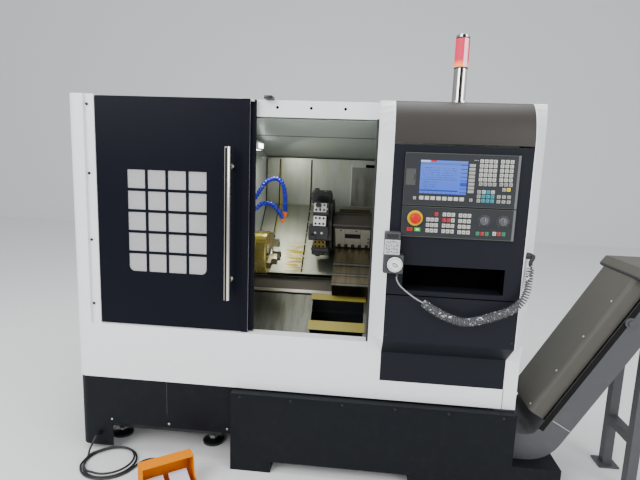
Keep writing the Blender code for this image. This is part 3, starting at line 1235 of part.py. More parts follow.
def chip_chute():
    """The sloping sheet under the covers, its chip pit with two cross bars, and the front wall."""
    inside = (WALL_LEFT + LINER + GAP, WALL_RIGHT - LINER - GAP)
    end = slope(CHUTE_END_U, -CHUTE_SINK)
    path = [slope(CHUTE_TOP_U, -CHUTE_SINK + CHUTE_LIP), slope(CHUTE_TOP_U, -CHUTE_SINK), end,
            (end[0], CHUTE_DROP_Z)]
    back = sheet(path, LINER, inside[0], inside[1], "X")
    front = block(inside, (CHUTE_FRONT_Y, CHUTE_FRONT_Y + LINER), (CHUTE_DROP_Z, CHUTE_FRONT_TOP))
    profile = [(CHUTE_FRONT_Y + LINER / 2, CHUTE_DROP_Z), (end[0] + LINER / 2, CHUTE_DROP_Z),
               slope(CHUTE_END_U, -CHUTE_SINK - LINER / 2), slope(WALL_LOW_U, -CHUTE_SINK - LINER / 2),
               (CHUTE_FRONT_Y + LINER / 2, slope(WALL_LOW_U, -CHUTE_SINK)[1])]
    ends = [prism(profile, x, x + LINER, "X") for x in (inside[0], inside[1] - LINER)]
    pit_x = (PIT_LEFT, PIT_LEFT + PIT_WIDTH)
    pit = sloped_block(pit_x, (CHUTE_END_U - OVERRUN * 2, PIT_TOP_U), (-CHUTE_SINK - OVERRUN, -CHUTE_SINK + OVERRUN))
    sheeting = cut(joined(back, front, *ends), pit)
    bars = [sloped_block((pit_x[0] - LAP, pit_x[1] + LAP), (u - PIT_BAR_WIDTH, u + LAP * (u == PIT_TOP_U)),
                         (-CHUTE_SINK - LINER / 2, -CHUTE_SINK + PIT_BAR_THICKNESS)) for u in PIT_BAR_U]
    named(joined(sheeting, *bars), "chip_chute", "liner_grey")


# Headstock and spindle

def spindle_line(x):
    return (x, *slope(SPINDLE_U, SPINDLE_N))


def headstock():
    low, high = slope(BED_START_U, -BED_SINK + GAP), slope(BED_END_U - BED_START_U, -BED_SINK + GAP)
    span_y, span_z = HEADSTOCK_BACK_Y - HEADSTOCK_FRONT_Y, HEADSTOCK_TOP_Z - HEADSTOCK_LOW_Z
    outline = [low, high] + [(HEADSTOCK_FRONT_Y + a * span_y, HEADSTOCK_LOW_Z + b * span_z)
                             for a, b in HEADSTOCK_SHARES[1:]]
    body = prism(outline, HEADSTOCK_LEFT, WALL_LEFT - GAP, "X")
    nose = turned([(NOSE_RADIUS, 0), (NOSE_RADIUS, NOSE_PROUD), (NOSE_RADIUS - CHUCK_CHAMFER, NOSE_PROUD + GAP)],
                  spindle_line(WALL_LEFT - LAP), (1, 0, 0), 32)
    bore = cylinder(SPINDLE_RADIUS + GAP, spindle_line(HEADSTOCK_LEFT - OVERRUN),
                    spindle_line(WALL_LEFT + NOSE_PROUD + OVERRUN), 32)
    named(cut(joined(body, nose), bore), "headstock", "cast_iron")


def spindle_chuck():
    start = HEADSTOCK_LEFT - SPINDLE_TAIL
    face = WALL_LEFT - LAP + NOSE_PROUD + 2 * GAP - start
    profile = [(PULLEY_RADIUS, 0), (PULLEY_RADIUS, PULLEY_WIDTH), (SPINDLE_RADIUS, PULLEY_WIDTH),
               (SPINDLE_RADIUS, face), (CHUCK_RADIUS - CHUCK_CHAMFER, face), (CHUCK_RADIUS, face + CHUCK_CHAMFER),
               (CHUCK_RADIUS, face + CHUCK_LENGTH / 2 - CHUCK_GROOVE),
               (CHUCK_RADIUS - CHUCK_GROOVE, face + CHUCK_LENGTH / 2 - CHUCK_GROOVE),
               (CHUCK_RADIUS - CHUCK_GROOVE, face + CHUCK_LENGTH / 2),
               (CHUCK_RADIUS, face + CHUCK_LENGTH / 2), (CHUCK_RADIUS, face + CHUCK_LENGTH - CHUCK_CHAMFER),
               (CHUCK_RADIUS - CHUCK_CHAMFER, face + CHUCK_LENGTH)]
    body = turned(profile, spindle_line(start), (1, 0, 0), 32, SPINDLE_BORE)
    named(body, "spindle_chuck", "steel", spindle_line(start + face))
    x = start + face + CHUCK_LENGTH + GAP
    for k in range(JAW_COUNT):
        outline = [(JAW_INNER, 0), (JAW_OUTER, 0), (JAW_OUTER, JAW_STEP), (JAW_STEP_RADIUS, JAW_STEP),
                   (JAW_STEP_RADIUS, JAW_LENGTH), (JAW_INNER, JAW_LENGTH)]
        jaw = prism(outline, -JAW_WIDTH / 2, JAW_WIDTH / 2, "Z")
        # Outline axes: radius along local X, length along local Y, width along local Z.
        frame = Matrix(((0, 1, 0), (0, 0, 1), (1, 0, 0))).to_4x4()
        angle = math.radians(JAW_FIRST_DEG + 360 * k / JAW_COUNT)
        turn = Matrix.Rotation(math.radians(90) - angle, 4, "X")
        jaw.data.transform(Matrix.Translation(spindle_line(x)) @ turn @ frame)
        named(jaw, f"chuck_jaw_{k + 1}", "steel")


# Saddle, cross slide and turret

def saddle():
    """The carriage with its own way cover, and the lower housing of the cross slide's covers."""
    core = sloped_block((SADDLE_LEFT, SADDLE_RIGHT), SADDLE_U, (-RAIL_SINK + GAP, COVER_LIFT_SADDLE - LINER / 2))
    cover = sheet(cover_path(COVER_LIFT_SADDLE, 0), LINER, SADDLE_COVER_LEFT, SADDLE_COVER_RIGHT, "X")
    body = sloped_block((SADDLE_LEFT + SLIDE_SIDE_INSET, SADDLE_RIGHT - SLIDE_SIDE_INSET),
                        (SADDLE_LOW_U, SLIDE_U[1] + SADDLE_TOP_N), (COVER_LIFT_SADDLE - LINER / 2, SADDLE_TOP_N))
    wide = (SADDLE_LEFT - LINER, SADDLE_RIGHT + LINER)
    apron = sloped_block(wide, (SADDLE_LOW_U, CROSS_COVER_END_U), (COVER_LIFT_SADDLE - LINER / 2, CROSS_COVER_N))
    hollow = sloped_block((wide[0] + LINER, wide[1] - LINER), (SADDLE_LOW_U + LINER, CROSS_COVER_END_U + OVERRUN),
                          (SADDLE_TOP_N, CROSS_COVER_N - LINER))
    named(joined(cut(apron, hollow), core, cover, body), "saddle", "stainless")


def cross_slide():
    wide = (SADDLE_LEFT - LINER, SADDLE_RIGHT + LINER)
    middle = sloped_block((wide[0] + LINER / 2, wide[1] - LINER / 2), CROSS_MID_U,
                          (CROSS_COVER_N + GAP, CROSS_COVER_N + GAP + CROSS_MID_THICKNESS))
    named(middle, "cross_cover_middle", "stainless")
    body = sloped_block((SADDLE_LEFT + SLIDE_SIDE_INSET, SADDLE_RIGHT - SLIDE_SIDE_INSET), SLIDE_U,
                        (SADDLE_TOP_N + GAP, SLIDE_TOP_N))
    plate = sloped_block((wide[0] + LINER, wide[1] - LINER), (CROSS_TOP_U, SLIDE_U[0] + LAP),
                         (CROSS_TOP_N, CROSS_TOP_N + LINER))
    named(joined(body, plate), "cross_slide", "stainless")


def turret_line(x):
    return (x, *slope(TURRET_U, TURRET_N))


def turret_housing():
    body = bevelled(sloped_block((HOUSING_LEFT, HOUSING_RIGHT), HOUSING_U, (SLIDE_TOP_N + GAP, HOUSING_TOP_N)),
                    HOUSING_ROUND, 2)
    clamp_x = (CLAMP_LEFT, CLAMP_LEFT + CLAMP_WIDTH)
    clamp = sloped_block(clamp_x, (HOUSING_U[0] - CLAMP_THICKNESS, HOUSING_U[0] + LAP), CLAMP_N)
    middle_x, high = sum(clamp_x) / 2, CLAMP_N[1] - CLAMP_RECESS_HEIGHT * 1.6
    recess = sloped_block((middle_x - CLAMP_RECESS_WIDTH / 2, middle_x + CLAMP_RECESS_WIDTH / 2),
                          (HOUSING_U[0] - CLAMP_THICKNESS - OVERRUN, HOUSING_U[0] - CLAMP_THICKNESS + CLAMP_RECESS_DEPTH),
                          (high - CLAMP_RECESS_HEIGHT / 2, high + CLAMP_RECESS_HEIGHT / 2))
    bolts = []
    for k in range(BOLT_COUNT):
        x = clamp_x[0] + CLAMP_WIDTH * (k + 0.5) / BOLT_COUNT
        n = CLAMP_N[0] + 2 * BOLT_RADIUS
        u = HOUSING_U[0] - CLAMP_THICKNESS
        bolts.append(cylinder(BOLT_RADIUS, (x, *slope(u + LAP, n)), (x, *slope(u - BOLT_HEIGHT, n)), 8))
    low = sloped_block((HOUSING_LEFT + LAP, HOUSING_RIGHT - LAP), HOUSING_BASE_U,
                       (SLIDE_TOP_N + GAP + LAP, HOUSING_BASE_N))
    motor = cylinder(TURRET_MOTOR_RADIUS, turret_line(HOUSING_LEFT + 2 * LAP),
                     turret_line(HOUSING_RIGHT + TURRET_MOTOR_LENGTH), 20)
    seat = cylinder(TURRET_SHAFT_RADIUS + GAP, turret_line(HOUSING_LEFT - OVERRUN),
                    turret_line(HOUSING_LEFT + TURRET_SHAFT_LENGTH + GAP), 24)
    named(cut(joined(body, low, motor, cut(clamp, recess), *bolts), seat), "turret_housing", "cast_iron")


def turret_disc():
    """The eight-station disc with its tool blocks and the shanks of the turning tools."""
    right = HOUSING_LEFT - DISC_GAP
    corner = DISC_FLAT_RADIUS / math.cos(math.pi / STATION_COUNT)
    centre_y, centre_z = slope(TURRET_U, TURRET_N)
    first = math.radians(FIRST_STATION_DEG)
    outline = []
    for k in range(STATION_COUNT):
        a = first + math.tau * (k + 0.5) / STATION_COUNT
        outline.append((centre_y + corner * math.cos(a), centre_z + corner * math.sin(a)))
    disc = prism(outline, DISC_LEFT, right, "X")
    shaft = cylinder(TURRET_SHAFT_RADIUS, turret_line(right - LAP), turret_line(right + TURRET_SHAFT_LENGTH), 24)
    hub = turned([(DISC_FLAT_RADIUS * 0.62, 0), (DISC_FLAT_RADIUS * 0.62, LAP + HOLDER_CHAMFER),
                  (DISC_FLAT_RADIUS * 0.56, LAP + 2 * HOLDER_CHAMFER)], turret_line(DISC_LEFT + LAP), (-1, 0, 0), 24)
    pieces = []
    for k in range(STATION_COUNT):
        turn = (Matrix.Translation(turret_line(0))
                @ Matrix.Rotation(first + math.tau * k / STATION_COUNT, 4, "X"))
        half, deep = HOLDER_WIDTH / 2, DISC_FLAT_RADIUS - LAP
        chamfer = HOLDER_CHAMFER
        outline = [(deep, -half), (HOLDER_TOP_RADIUS - chamfer, -half), (HOLDER_TOP_RADIUS, -half + chamfer),
                   (HOLDER_TOP_RADIUS, half - chamfer), (HOLDER_TOP_RADIUS - chamfer, half), (deep, half)]
        left = HOLDER_LEFT if k % 2 == 0 else DISC_LEFT - chamfer
        holder = prism(outline, left, HOLDER_RIGHT, "X")
        side = TOOL_INSET if k % 2 == 0 else -TOOL_INSET
        shank = block((left + TOOL_INSET, left + TOOL_INSET + TOOL_SHANK), (deep, TOOL_RADIUS),
                      (side - TOOL_SHANK / 2, side + TOOL_SHANK / 2))
        for piece in (holder, shank):
            piece.data.transform(turn)
            pieces.append(piece)
    named(joined(disc, shaft, hub, *pieces), "turret_disc", "black_oxide", turret_line(right))


# Lamp and hoses

def work_lamp():
    x = WALL_LEFT + LINER + GAP
    body = block((x, x + LAMP_WIDTH), LAMP_DEPTH_Y, (LAMP_TOP - LAMP_HEIGHT, LAMP_TOP))
    named(bevelled(body, LAMP_ROUND, 2), "work_lamp", "lamp_body")


def coolant_hose(name, shares, y, z, reach, rise):
    """A jointed hose: beads along a smooth route out of the wall, then a tapered nozzle."""
    wall = WALL_LEFT + LINER + GAP
    start = wall + HOSE_BEAD
    points = [(start + a * (reach - HOSE_BEAD), y, z + b * rise) for a, b in shares]
    route = [Vector((wall, y, points[0][2]))] + smooth_route(points, HOSE_BEAD / 3)
    length = sum((b - a).length for a, b in zip(route, route[1:]))
    radii, done = [], 0.0
    for i, point in enumerate(route):
        done += (point - route[i - 1]).length if i else 0.0
        left = length - done
        if left < NOZZLE_LENGTH:
            radii.append(NOZZLE_TIP_RADIUS + (HOSE_RADIUS - NOZZLE_TIP_RADIUS) * left / NOZZLE_LENGTH)
        else:
            radii.append(HOSE_NECK_RADIUS if i % 3 == 0 else HOSE_RADIUS)
    radii[0] = radii[1] = HOSE_WALL_RADIUS
    named(swept(route, radii, HOSE_SIDES), name, "hose_blue")


# Electrical cabinet

def electrical_cabinet():
    y = ENCLOSURE_DEPTH + GAP
    x, z = (-CABINET_WIDTH / 2, CABINET_WIDTH / 2), (CABINET_BOTTOM, CABINET_TOP)
    box = block(x, (y, y + CABINET_DEPTH), z)
    hollow = block((x[0] + SKIN, x[1] - SKIN), (y + SKIN, y + CABINET_DEPTH + OVERRUN), (z[0] + SKIN, z[1] - SKIN))
    body = cut(box, hollow)
    board = block((x[0] + CABINET_LIP * 2, x[1] - CABINET_LIP * 2), (y + SKIN - LAP / 2, y + SKIN + CABINET_BOARD),
                  (z[0] + CABINET_LIP * 2, z[1] - CABINET_LIP * 2))
    units = []
    pitch = (CABINET_WIDTH - CABINET_LIP * 8) / CABINET_UNIT_COUNT
    for k in range(CABINET_UNIT_COUNT):
        left = x[0] + CABINET_LIP * 4 + k * pitch
        low = z[1] - CABINET_LIP * 4 - CABINET_UNIT_HEIGHT
        units.append(block((left, left + pitch * CABINET_UNIT_SHARE),
                           (y + SKIN + CABINET_BOARD - LAP, y + SKIN + CABINET_BOARD + CABINET_UNIT_DEPTH),
                           (low, low + CABINET_UNIT_HEIGHT)))
    named(joined(body, board, *units), "electrical_cabinet", "white_paint")
    back = y + CABINET_DEPTH + GAP
    door_x = (x[0] + SKIN, x[1])
    plate = block(door_x, (back, back + SKIN), z)
    inner = rectangle((door_x[0] + CABINET_LIP, door_x[1] - CABINET_LIP), (z[0] + CABINET_LIP, z[1] - CABINET_LIP))
    rim_outer = rectangle(door_x, z)
    rim = prism(rim_outer, back + SKIN / 2, back + CABINET_DOOR_THICKNESS - SKIN, "Y", [inner])
    face = block(door_x, (back + CABINET_DOOR_THICKNESS - SKIN - LAP / 2, back + CABINET_DOOR_THICKNESS), z)
    vent = block((door_x[0] + CABINET_LIP * 3, door_x[0] + CABINET_LIP * 4), (back - OVERRUN, back + SKIN + OVERRUN),
                 (z[0] + CABINET_LIP * 3, z[0] + CABINET_LIP * 4))
    hinge_x = x[1] + CABINET_HINGE_RADIUS
    middle_y = back + CABINET_HINGE_RADIUS
    pins = [cylinder(CABINET_HINGE_RADIUS, (hinge_x - GAP, middle_y, low), (hinge_x - GAP, middle_y, low + CABINET_LIP * 3),
                     12) for low in (z[0] + CABINET_LIP * 4, z[1] - CABINET_LIP * 7)]
    door_piece = cut(joined(plate, rim, face, *pins), vent)
    named(door_piece, "cabinet_door", "white_paint", (hinge_x, middle_y, (z[0] + z[1]) / 2))


# Chip conveyor

def floor_path():
    """The conveyor's floor line, from under the bed to the top of the incline."""
    bend = arc((BEND_START_X, CONVEYOR_BOTTOM + BEND_RADIUS), BEND_RADIUS, 270, 270 + INCLINE_DEG, BEND_STEPS)
    return [(CONVEYOR_LEFT, CONVEYOR_BOTTOM)] + bend + [incline(INCLINE_LENGTH, 0)]


def conveyor_casing():
    """Floor, side plates with the head, the closed deck over the bend, legs and the lug."""
    low = floor_path()
    high = offset_path(low, CONVEYOR_HEIGHT)
    floor = sheet(low, CONVEYOR_SHEET, CONVEYOR_FRONT, CONVEYOR_BACK, "Y")
    head = [(HEAD_THROAT_X, HEAD_BOTTOM), (HEAD_RIGHT, HEAD_BOTTOM), (HEAD_RIGHT, HEAD_TOP),
            (high[-1][0] + LAP, HEAD_TOP)]
    sides = [prism(low + head + high[::-1], y, y + CONVEYOR_SHEET, "Y")
             for y in (CONVEYOR_FRONT, CONVEYOR_BACK - CONVEYOR_SHEET)]
    start = incline(COVER_START_S, CONVEYOR_HEIGHT)
    deck_line = [(DECK_START_X, high[0][1])] + high[1:-1] + [start]
    deck = sheet(deck_line, -CONVEYOR_SHEET, CONVEYOR_FRONT, CONVEYOR_BACK, "Y")
    end = block((CONVEYOR_LEFT, CONVEYOR_LEFT + CONVEYOR_SHEET), (CONVEYOR_FRONT, CONVEYOR_BACK),
                (CONVEYOR_BOTTOM, CONVEYOR_BOTTOM + CONVEYOR_HEIGHT))
    legs = []
    under = (LEG_X - INCLINE_X) / INCLINE_COS
    for y in (CONVEYOR_FRONT + LEG_INSET, CONVEYOR_BACK - LEG_INSET - LEG_SIZE):
        top = incline(under, 0)[1]
        leg = prism([(LEG_X, 0), (LEG_X + LEG_SIZE, 0), (LEG_X + LEG_SIZE, top + LEG_SIZE * INCLINE_SIN / INCLINE_COS),
                     (LEG_X, top + LAP)], y, y + LEG_SIZE, "Y")
        centre = LEG_X + LEG_SIZE / 2
        plate = block((centre - LEG_FOOT / 2, centre + LEG_FOOT / 2),
                      (y + LEG_SIZE / 2 - LEG_FOOT / 2, y + LEG_SIZE / 2 + LEG_FOOT / 2), (0, LEG_FOOT_HEIGHT))
        legs += [leg, plate]
    brace = block((LEG_X, LEG_X + LEG_SIZE), (CONVEYOR_FRONT + LEG_INSET + LEG_SIZE / 2,
                                              CONVEYOR_BACK - LEG_INSET - LEG_SIZE / 2),
                  (INCLINE_Z, INCLINE_Z + LEG_SIZE))
    lug_x, lug_z = incline(LUG_S, CONVEYOR_HEIGHT - LUG_RADIUS)
    lug = turned([(LUG_RADIUS, -LAP), (LUG_RADIUS, LUG_PROUD / 2), (LUG_RADIUS / 2, LUG_PROUD / 2),
                  (LUG_RADIUS / 2, LUG_PROUD)], (lug_x, CONVEYOR_FRONT, lug_z), (0, -1, 0), 16)
    holes = cylinder(DRIVE_SHAFT_RADIUS + GAP, (DRIVE_X, CONVEYOR_FRONT - OVERRUN, DRIVE_Z),
                     (DRIVE_X, CONVEYOR_BACK + OVERRUN, DRIVE_Z), 20)
    body = joined(floor, *sides, deck, end, brace, *legs, lug)
    named(cut(body, holes), "conveyor_casing", "conveyor_paint")


def conveyor_cover():
    """The cap over the incline, its long edges rounded over, closed at its lower end."""
    y = (CONVEYOR_FRONT + COVER_SIDE, CONVEYOR_BACK - COVER_SIDE)
    base, top = CONVEYOR_HEIGHT + GAP, CONVEYOR_HEIGHT + COVER_HEIGHT
    r = COVER_ROUND
    path = [(y[0], base)] + arc((y[0] + r, top - r), r, 180, 90, COVER_ROUND_STEPS)
    path += arc((y[1] - r, top - r), r, 90, 0, COVER_ROUND_STEPS) + [(y[1], base)]
    inner = offset_path(path, -CONVEYOR_SKIN)
    rings = []
    for s in (COVER_START_S, COVER_END_S):
        rings.append([(incline(s, n)[0], a, incline(s, n)[1]) for a, n in path + inner[::-1]])
    shell = loft(rings)
    plate = [(incline(COVER_START_S, n)[0], a, incline(COVER_START_S, n)[1]) for a, n in path]
    plate_in = [(incline(COVER_START_S + CONVEYOR_SKIN, n)[0], a, incline(COVER_START_S + CONVEYOR_SKIN, n)[1])
                for a, n in path]
    named(joined(shell, loft([plate, plate_in])), "conveyor_cover", "conveyor_paint")


def conveyor_hood():
    """The sheet hood over the drive end, with cheeks that lap the side plates."""
    low = incline(COVER_END_S + GAP, CONVEYOR_HEIGHT + COVER_HEIGHT)
    y = (CONVEYOR_FRONT - HOOD_SIDE, CONVEYOR_BACK + HOOD_SIDE)
    ridge = (HOOD_RIDGE_X, HOOD_RISE)
    end = (HEAD_RIGHT + GAP, HOOD_RISE)
    path = [low, ridge, end, (end[0], HOOD_RISE - HOOD_CHEEK)]
    top = sheet(path, CONVEYOR_SKIN, y[0], y[1], "Y")
    under = incline(COVER_END_S + GAP, CONVEYOR_HEIGHT + GAP)
    cheek = [low, ridge, (end[0] + CONVEYOR_SKIN, HOOD_RISE), (end[0] + CONVEYOR_SKIN, HOOD_RISE - HOOD_CHEEK),
             (under[0] + HOOD_CHEEK, HOOD_RISE - HOOD_CHEEK), under]
    cheeks = [prism(cheek, a, b, "Y") for a, b in ((y[0], y[0] + CONVEYOR_SKIN), (y[1] - CONVEYOR_SKIN, y[1]))]
    named(joined(top, *cheeks), "conveyor_hood", "conveyor_paint")


def conveyor_drive():
    """The head shaft with its two chain wheels, and the gearmotor on the back."""
    at = Vector((DRIVE_X, CONVEYOR_FRONT - LUG_PROUD, DRIVE_Z))
    inside = CONVEYOR_SHEET + SPROCKET_INSET + LUG_PROUD
    width = CONVEYOR_BACK - CONVEYOR_FRONT + LUG_PROUD * 2
    profile = [(DRIVE_SHAFT_RADIUS, 0), (DRIVE_SHAFT_RADIUS, inside), (SPROCKET_RADIUS, inside),
               (SPROCKET_RADIUS, inside + SPROCKET_WIDTH), (DRIVE_SHAFT_RADIUS, inside + SPROCKET_WIDTH),
               (DRIVE_SHAFT_RADIUS, width - inside - SPROCKET_WIDTH), (SPROCKET_RADIUS, width - inside - SPROCKET_WIDTH),
               (SPROCKET_RADIUS, width - inside), (DRIVE_SHAFT_RADIUS, width - inside), (DRIVE_SHAFT_RADIUS, width)]
    named(turned(profile, at, (0, 1, 0), 20), "conveyor_drive_shaft", "steel", at)
    y = CONVEYOR_BACK + GAP
    half, middle = GEARBOX_SIZE / 2, DRIVE_X + GEARBOX_SHIFT
    box = block((middle - half, middle + half), (y, y + GEARBOX_LENGTH),
                (DRIVE_Z + GEARBOX_RISE - GEARBOX_SIZE, DRIVE_Z + GEARBOX_RISE))
    hollow = cylinder(DRIVE_SHAFT_RADIUS + GAP, (DRIVE_X, y - OVERRUN, DRIVE_Z),
                      (DRIVE_X, y + LUG_PROUD + GAP, DRIVE_Z), 20)
    down = DRIVE_Z + GEARBOX_RISE - GEARBOX_SIZE + LAP
    motor = turned([(MOTOR_RADIUS, 0), (MOTOR_RADIUS, MOTOR_LENGTH * 0.9), (MOTOR_RADIUS * 0.9, MOTOR_LENGTH)],
                   (middle, y + GEARBOX_LENGTH / 2 + MOTOR_RADIUS / 3, down), (0, 0, -1), 20)
    named(cut(joined(box, motor), hollow), "conveyor_gearmotor", "cast_iron")


# Foot switch

def foot_switch():
    """Guard, two pedals and the cable with its ring of turns, in a frame turned on the floor."""
    half, depth = GUARD_WIDTH / 2, GUARD_DEPTH
    side = [(0, 0), (-depth, 0), (-depth, GUARD_SIDE_LOW),
            (-GUARD_ROOF_END - GUARD_SHOULDER_LENGTH, GUARD_SHOULDER), (-GUARD_ROOF_END, GUARD_HEIGHT),
            (-GUARD_ROOF_START, GUARD_HEIGHT), (0, GUARD_BACK_HEIGHT)]
    outer = prism(side, -half, half, "X")
    inner = [(-GUARD_WALL, GUARD_FLOOR), (-depth - OVERRUN, GUARD_FLOOR),
             (-depth - OVERRUN, GUARD_HEIGHT - GUARD_WALL), (-GUARD_ROOF_START - GUARD_WALL, GUARD_HEIGHT - GUARD_WALL),
             (-GUARD_WALL, GUARD_BACK_HEIGHT - GUARD_WALL)]
    hollow = prism(inner, -half + GUARD_WALL, half - GUARD_WALL, "X")
    shell = cut(outer, hollow)
    pivot_y, pivot_z = -PEDAL_PIVOT_DEPTH, PEDAL_PIVOT_Z
    ears = [block((-PEDAL_GAP / 2 + GAP - PEDAL_OFFSET, PEDAL_GAP / 2 - GAP - PEDAL_OFFSET),
                  (pivot_y - PIVOT_EAR, pivot_y + PIVOT_EAR), (GUARD_FLOOR - LAP, pivot_z + PIVOT_EAR))]
    pin_r = PEDAL_PIVOT_RADIUS / 2
    pin = cylinder(pin_r, (-half + GUARD_WALL / 2, pivot_y, pivot_z), (half - GUARD_WALL / 2, pivot_y, pivot_z), 12)
    bush = cylinder(FOOT_PLUG_RADIUS, (0, -GUARD_WALL / 2, GUARD_WALL * 7.5), (0, FOOT_PLUG_RADIUS, GUARD_WALL * 7.5), 12)
    named(joined(shell, *ears, pin, bush), "foot_guard", "guard_orange", parent="foot_switch")
    for name, sign in (("pedal_left", -1), ("pedal_right", 1)):
        x = sorted((sign * PEDAL_GAP / 2 - PEDAL_OFFSET, sign * (PEDAL_GAP / 2 + PEDAL_WIDTH) - PEDAL_OFFSET))
        barrel = cylinder(PEDAL_PIVOT_RADIUS, (x[0], pivot_y, pivot_z), (x[1], pivot_y, pivot_z), 16)
        rise = math.radians(PEDAL_RISE_DEG)
        along, up = Vector((math.cos(rise), math.sin(rise))), Vector((-math.sin(rise), math.cos(rise)))
        pivot = Vector((pivot_y, pivot_z))
        start = pivot + up * (PEDAL_PIVOT_RADIUS - PEDAL_THICKNESS)
        corners = [start - along * PEDAL_PIVOT_RADIUS, start + along * PEDAL_LENGTH,
                   start + along * PEDAL_LENGTH + up * PEDAL_THICKNESS, start - along * PEDAL_PIVOT_RADIUS + up * PEDAL_THICKNESS]
        tread = prism([tuple(c) for c in corners], x[0], x[1], "X")
        bore = cylinder(pin_r + GAP, (x[0] - OVERRUN, pivot_y, pivot_z), (x[1] + OVERRUN, pivot_y, pivot_z), 12)
        pedal = cut(joined(barrel, tread), bore)
        named(pedal, name, "pedal_grey", ((x[0] + x[1]) / 2, pivot_y, pivot_z), "foot_switch")
    cord(FOOT_CABLE_POINTS, FOOT_CABLE_STEP, FOOT_CABLE_DIAMETER, "foot_cable", "cable_black")
    half = FOOT_COIL_SECTION / 2
    corner = half * 0.45
    ring = [(FOOT_COIL_RADIUS + half, corner), (FOOT_COIL_RADIUS + half, 2 * half - corner),
            (FOOT_COIL_RADIUS + half - corner, 2 * half), (FOOT_COIL_RADIUS - half + corner, 2 * half),
            (FOOT_COIL_RADIUS - half, 2 * half - corner), (FOOT_COIL_RADIUS - half, corner),
            (FOOT_COIL_RADIUS - half + corner, 0), (FOOT_COIL_RADIUS + half - corner, 0)]
    points, faces, n = [], [], len(ring)
    for i in range(FOOT_COIL_STEPS):
        a = math.tau * i / FOOT_COIL_STEPS
        points += [(FOOT_COIL_X + r * math.cos(a), FOOT_COIL_Y + r * math.sin(a), h + GAP) for r, h in ring]
        j = (i + 1) % FOOT_COIL_STEPS
        faces += [(i * n + k, i * n + (k + 1) % n, j * n + (k + 1) % n, j * n + k) for k in range(n)]
    named(solid(points, faces), "foot_cable_coil", "cable_black")


def frame_empty(name, location, turn_deg=0.0):
    empty = bpy.data.objects.new(name, None)
    bpy.context.collection.objects.link(empty)
    empty.location = location
    empty.rotation_euler = (0, 0, math.radians(turn_deg))
    return empty


def main():
    for leftover in list(bpy.data.objects):
        bpy.data.objects.remove(leftover)
    machine = frame_empty("machine", (-CENTRE_X, -CENTRE_Y, 0))
    frame_empty("foot_switch", (PEDAL_FRAME_X, PEDAL_FRAME_Y, 0), PEDAL_FRAME_DEG).parent = machine
    base_casting()
    base_front_cover()
    coolant_tank()
    slant_bed()
    front_panel()
    side_cover("side_cover_left", LEFT + SKIN, LEFT)
    side_cover("side_cover_right", RIGHT - SKIN, RIGHT)
    roof_cover()
    rear_cover()
    top_rail()
    splash_liner()
    way_covers()
    chip_chute()
    headstock()
    spindle_chuck()
    saddle()
    cross_slide()
    turret_housing()
    turret_disc()
    work_lamp()
    coolant_hose("coolant_hose_upper", UPPER_HOSE_SHARES, UPPER_HOSE_Y, UPPER_HOSE_Z, UPPER_HOSE_REACH,
                 UPPER_HOSE_RISE)
    coolant_hose("coolant_hose_lower", LOWER_HOSE_SHARES, LOWER_HOSE_Y, LOWER_HOSE_Z, LOWER_HOSE_REACH,
                 LOWER_HOSE_RISE)
    door()
    console_housing()
    console_face()
    console_hood()
    display_unit()
    operator_panel()
    signal_tower()
    pendant()
    electrical_cabinet()
    conveyor_casing()
    conveyor_cover()
    conveyor_hood()
    conveyor_drive()
    foot_switch()


main()
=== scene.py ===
"""Finishes and small parts of a slant-bed CNC turning lathe, over its CAD solids.

Places are in metres in the machine's own frame: x from the middle of the enclosure, y from the white
front plane towards the back, z from the floor. at() turns them into the model's frame. A piece hangs on
the body "machine" unless its call names another one.
"""

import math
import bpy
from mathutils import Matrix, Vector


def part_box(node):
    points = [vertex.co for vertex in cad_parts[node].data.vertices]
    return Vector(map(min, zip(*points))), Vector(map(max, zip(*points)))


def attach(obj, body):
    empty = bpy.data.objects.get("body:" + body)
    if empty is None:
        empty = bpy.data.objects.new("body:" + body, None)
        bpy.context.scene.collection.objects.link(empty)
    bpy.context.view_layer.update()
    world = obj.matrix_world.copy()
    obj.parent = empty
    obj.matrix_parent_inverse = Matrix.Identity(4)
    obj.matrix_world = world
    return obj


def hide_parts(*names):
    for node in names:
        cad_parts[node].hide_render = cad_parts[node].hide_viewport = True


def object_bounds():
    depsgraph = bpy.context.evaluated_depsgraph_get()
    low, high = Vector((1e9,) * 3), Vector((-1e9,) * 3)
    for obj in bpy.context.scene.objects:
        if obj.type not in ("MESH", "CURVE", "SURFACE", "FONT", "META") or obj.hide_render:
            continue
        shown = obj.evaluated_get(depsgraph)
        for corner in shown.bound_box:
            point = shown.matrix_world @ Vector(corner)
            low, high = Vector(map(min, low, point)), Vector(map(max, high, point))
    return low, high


bl_info = {
    "name": "Slant-bed turning lathe",
    "version": (1, 0, 0),
    "blender": (4, 5, 0),
    "location": "3D View > Sidebar > Lathe",
    "description": "Dresses the lathe's solids with finishes, keys, screws, cords and light",
    "category": "Object",
}

import bmesh
import bpy
from mathutils import Matrix, Vector

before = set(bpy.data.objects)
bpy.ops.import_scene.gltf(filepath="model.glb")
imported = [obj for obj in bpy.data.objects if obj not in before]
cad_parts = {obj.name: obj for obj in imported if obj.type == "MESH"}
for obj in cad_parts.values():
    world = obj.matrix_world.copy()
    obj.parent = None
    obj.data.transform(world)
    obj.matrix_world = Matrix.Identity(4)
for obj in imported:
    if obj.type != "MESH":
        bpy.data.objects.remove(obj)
CAD_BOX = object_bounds()

# Where things are
ROOF_LOW, ROOF_HIGH = (Vector(c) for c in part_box("roof_cover"))
ORIGIN = Vector(((ROOF_LOW.x + ROOF_HIGH.x) / 2, Vector(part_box("front_panel")[0]).y, 0))
FRONT, RIGHT, UP = (0, -1, 0), (1, 0, 0), (0, 0, 1)
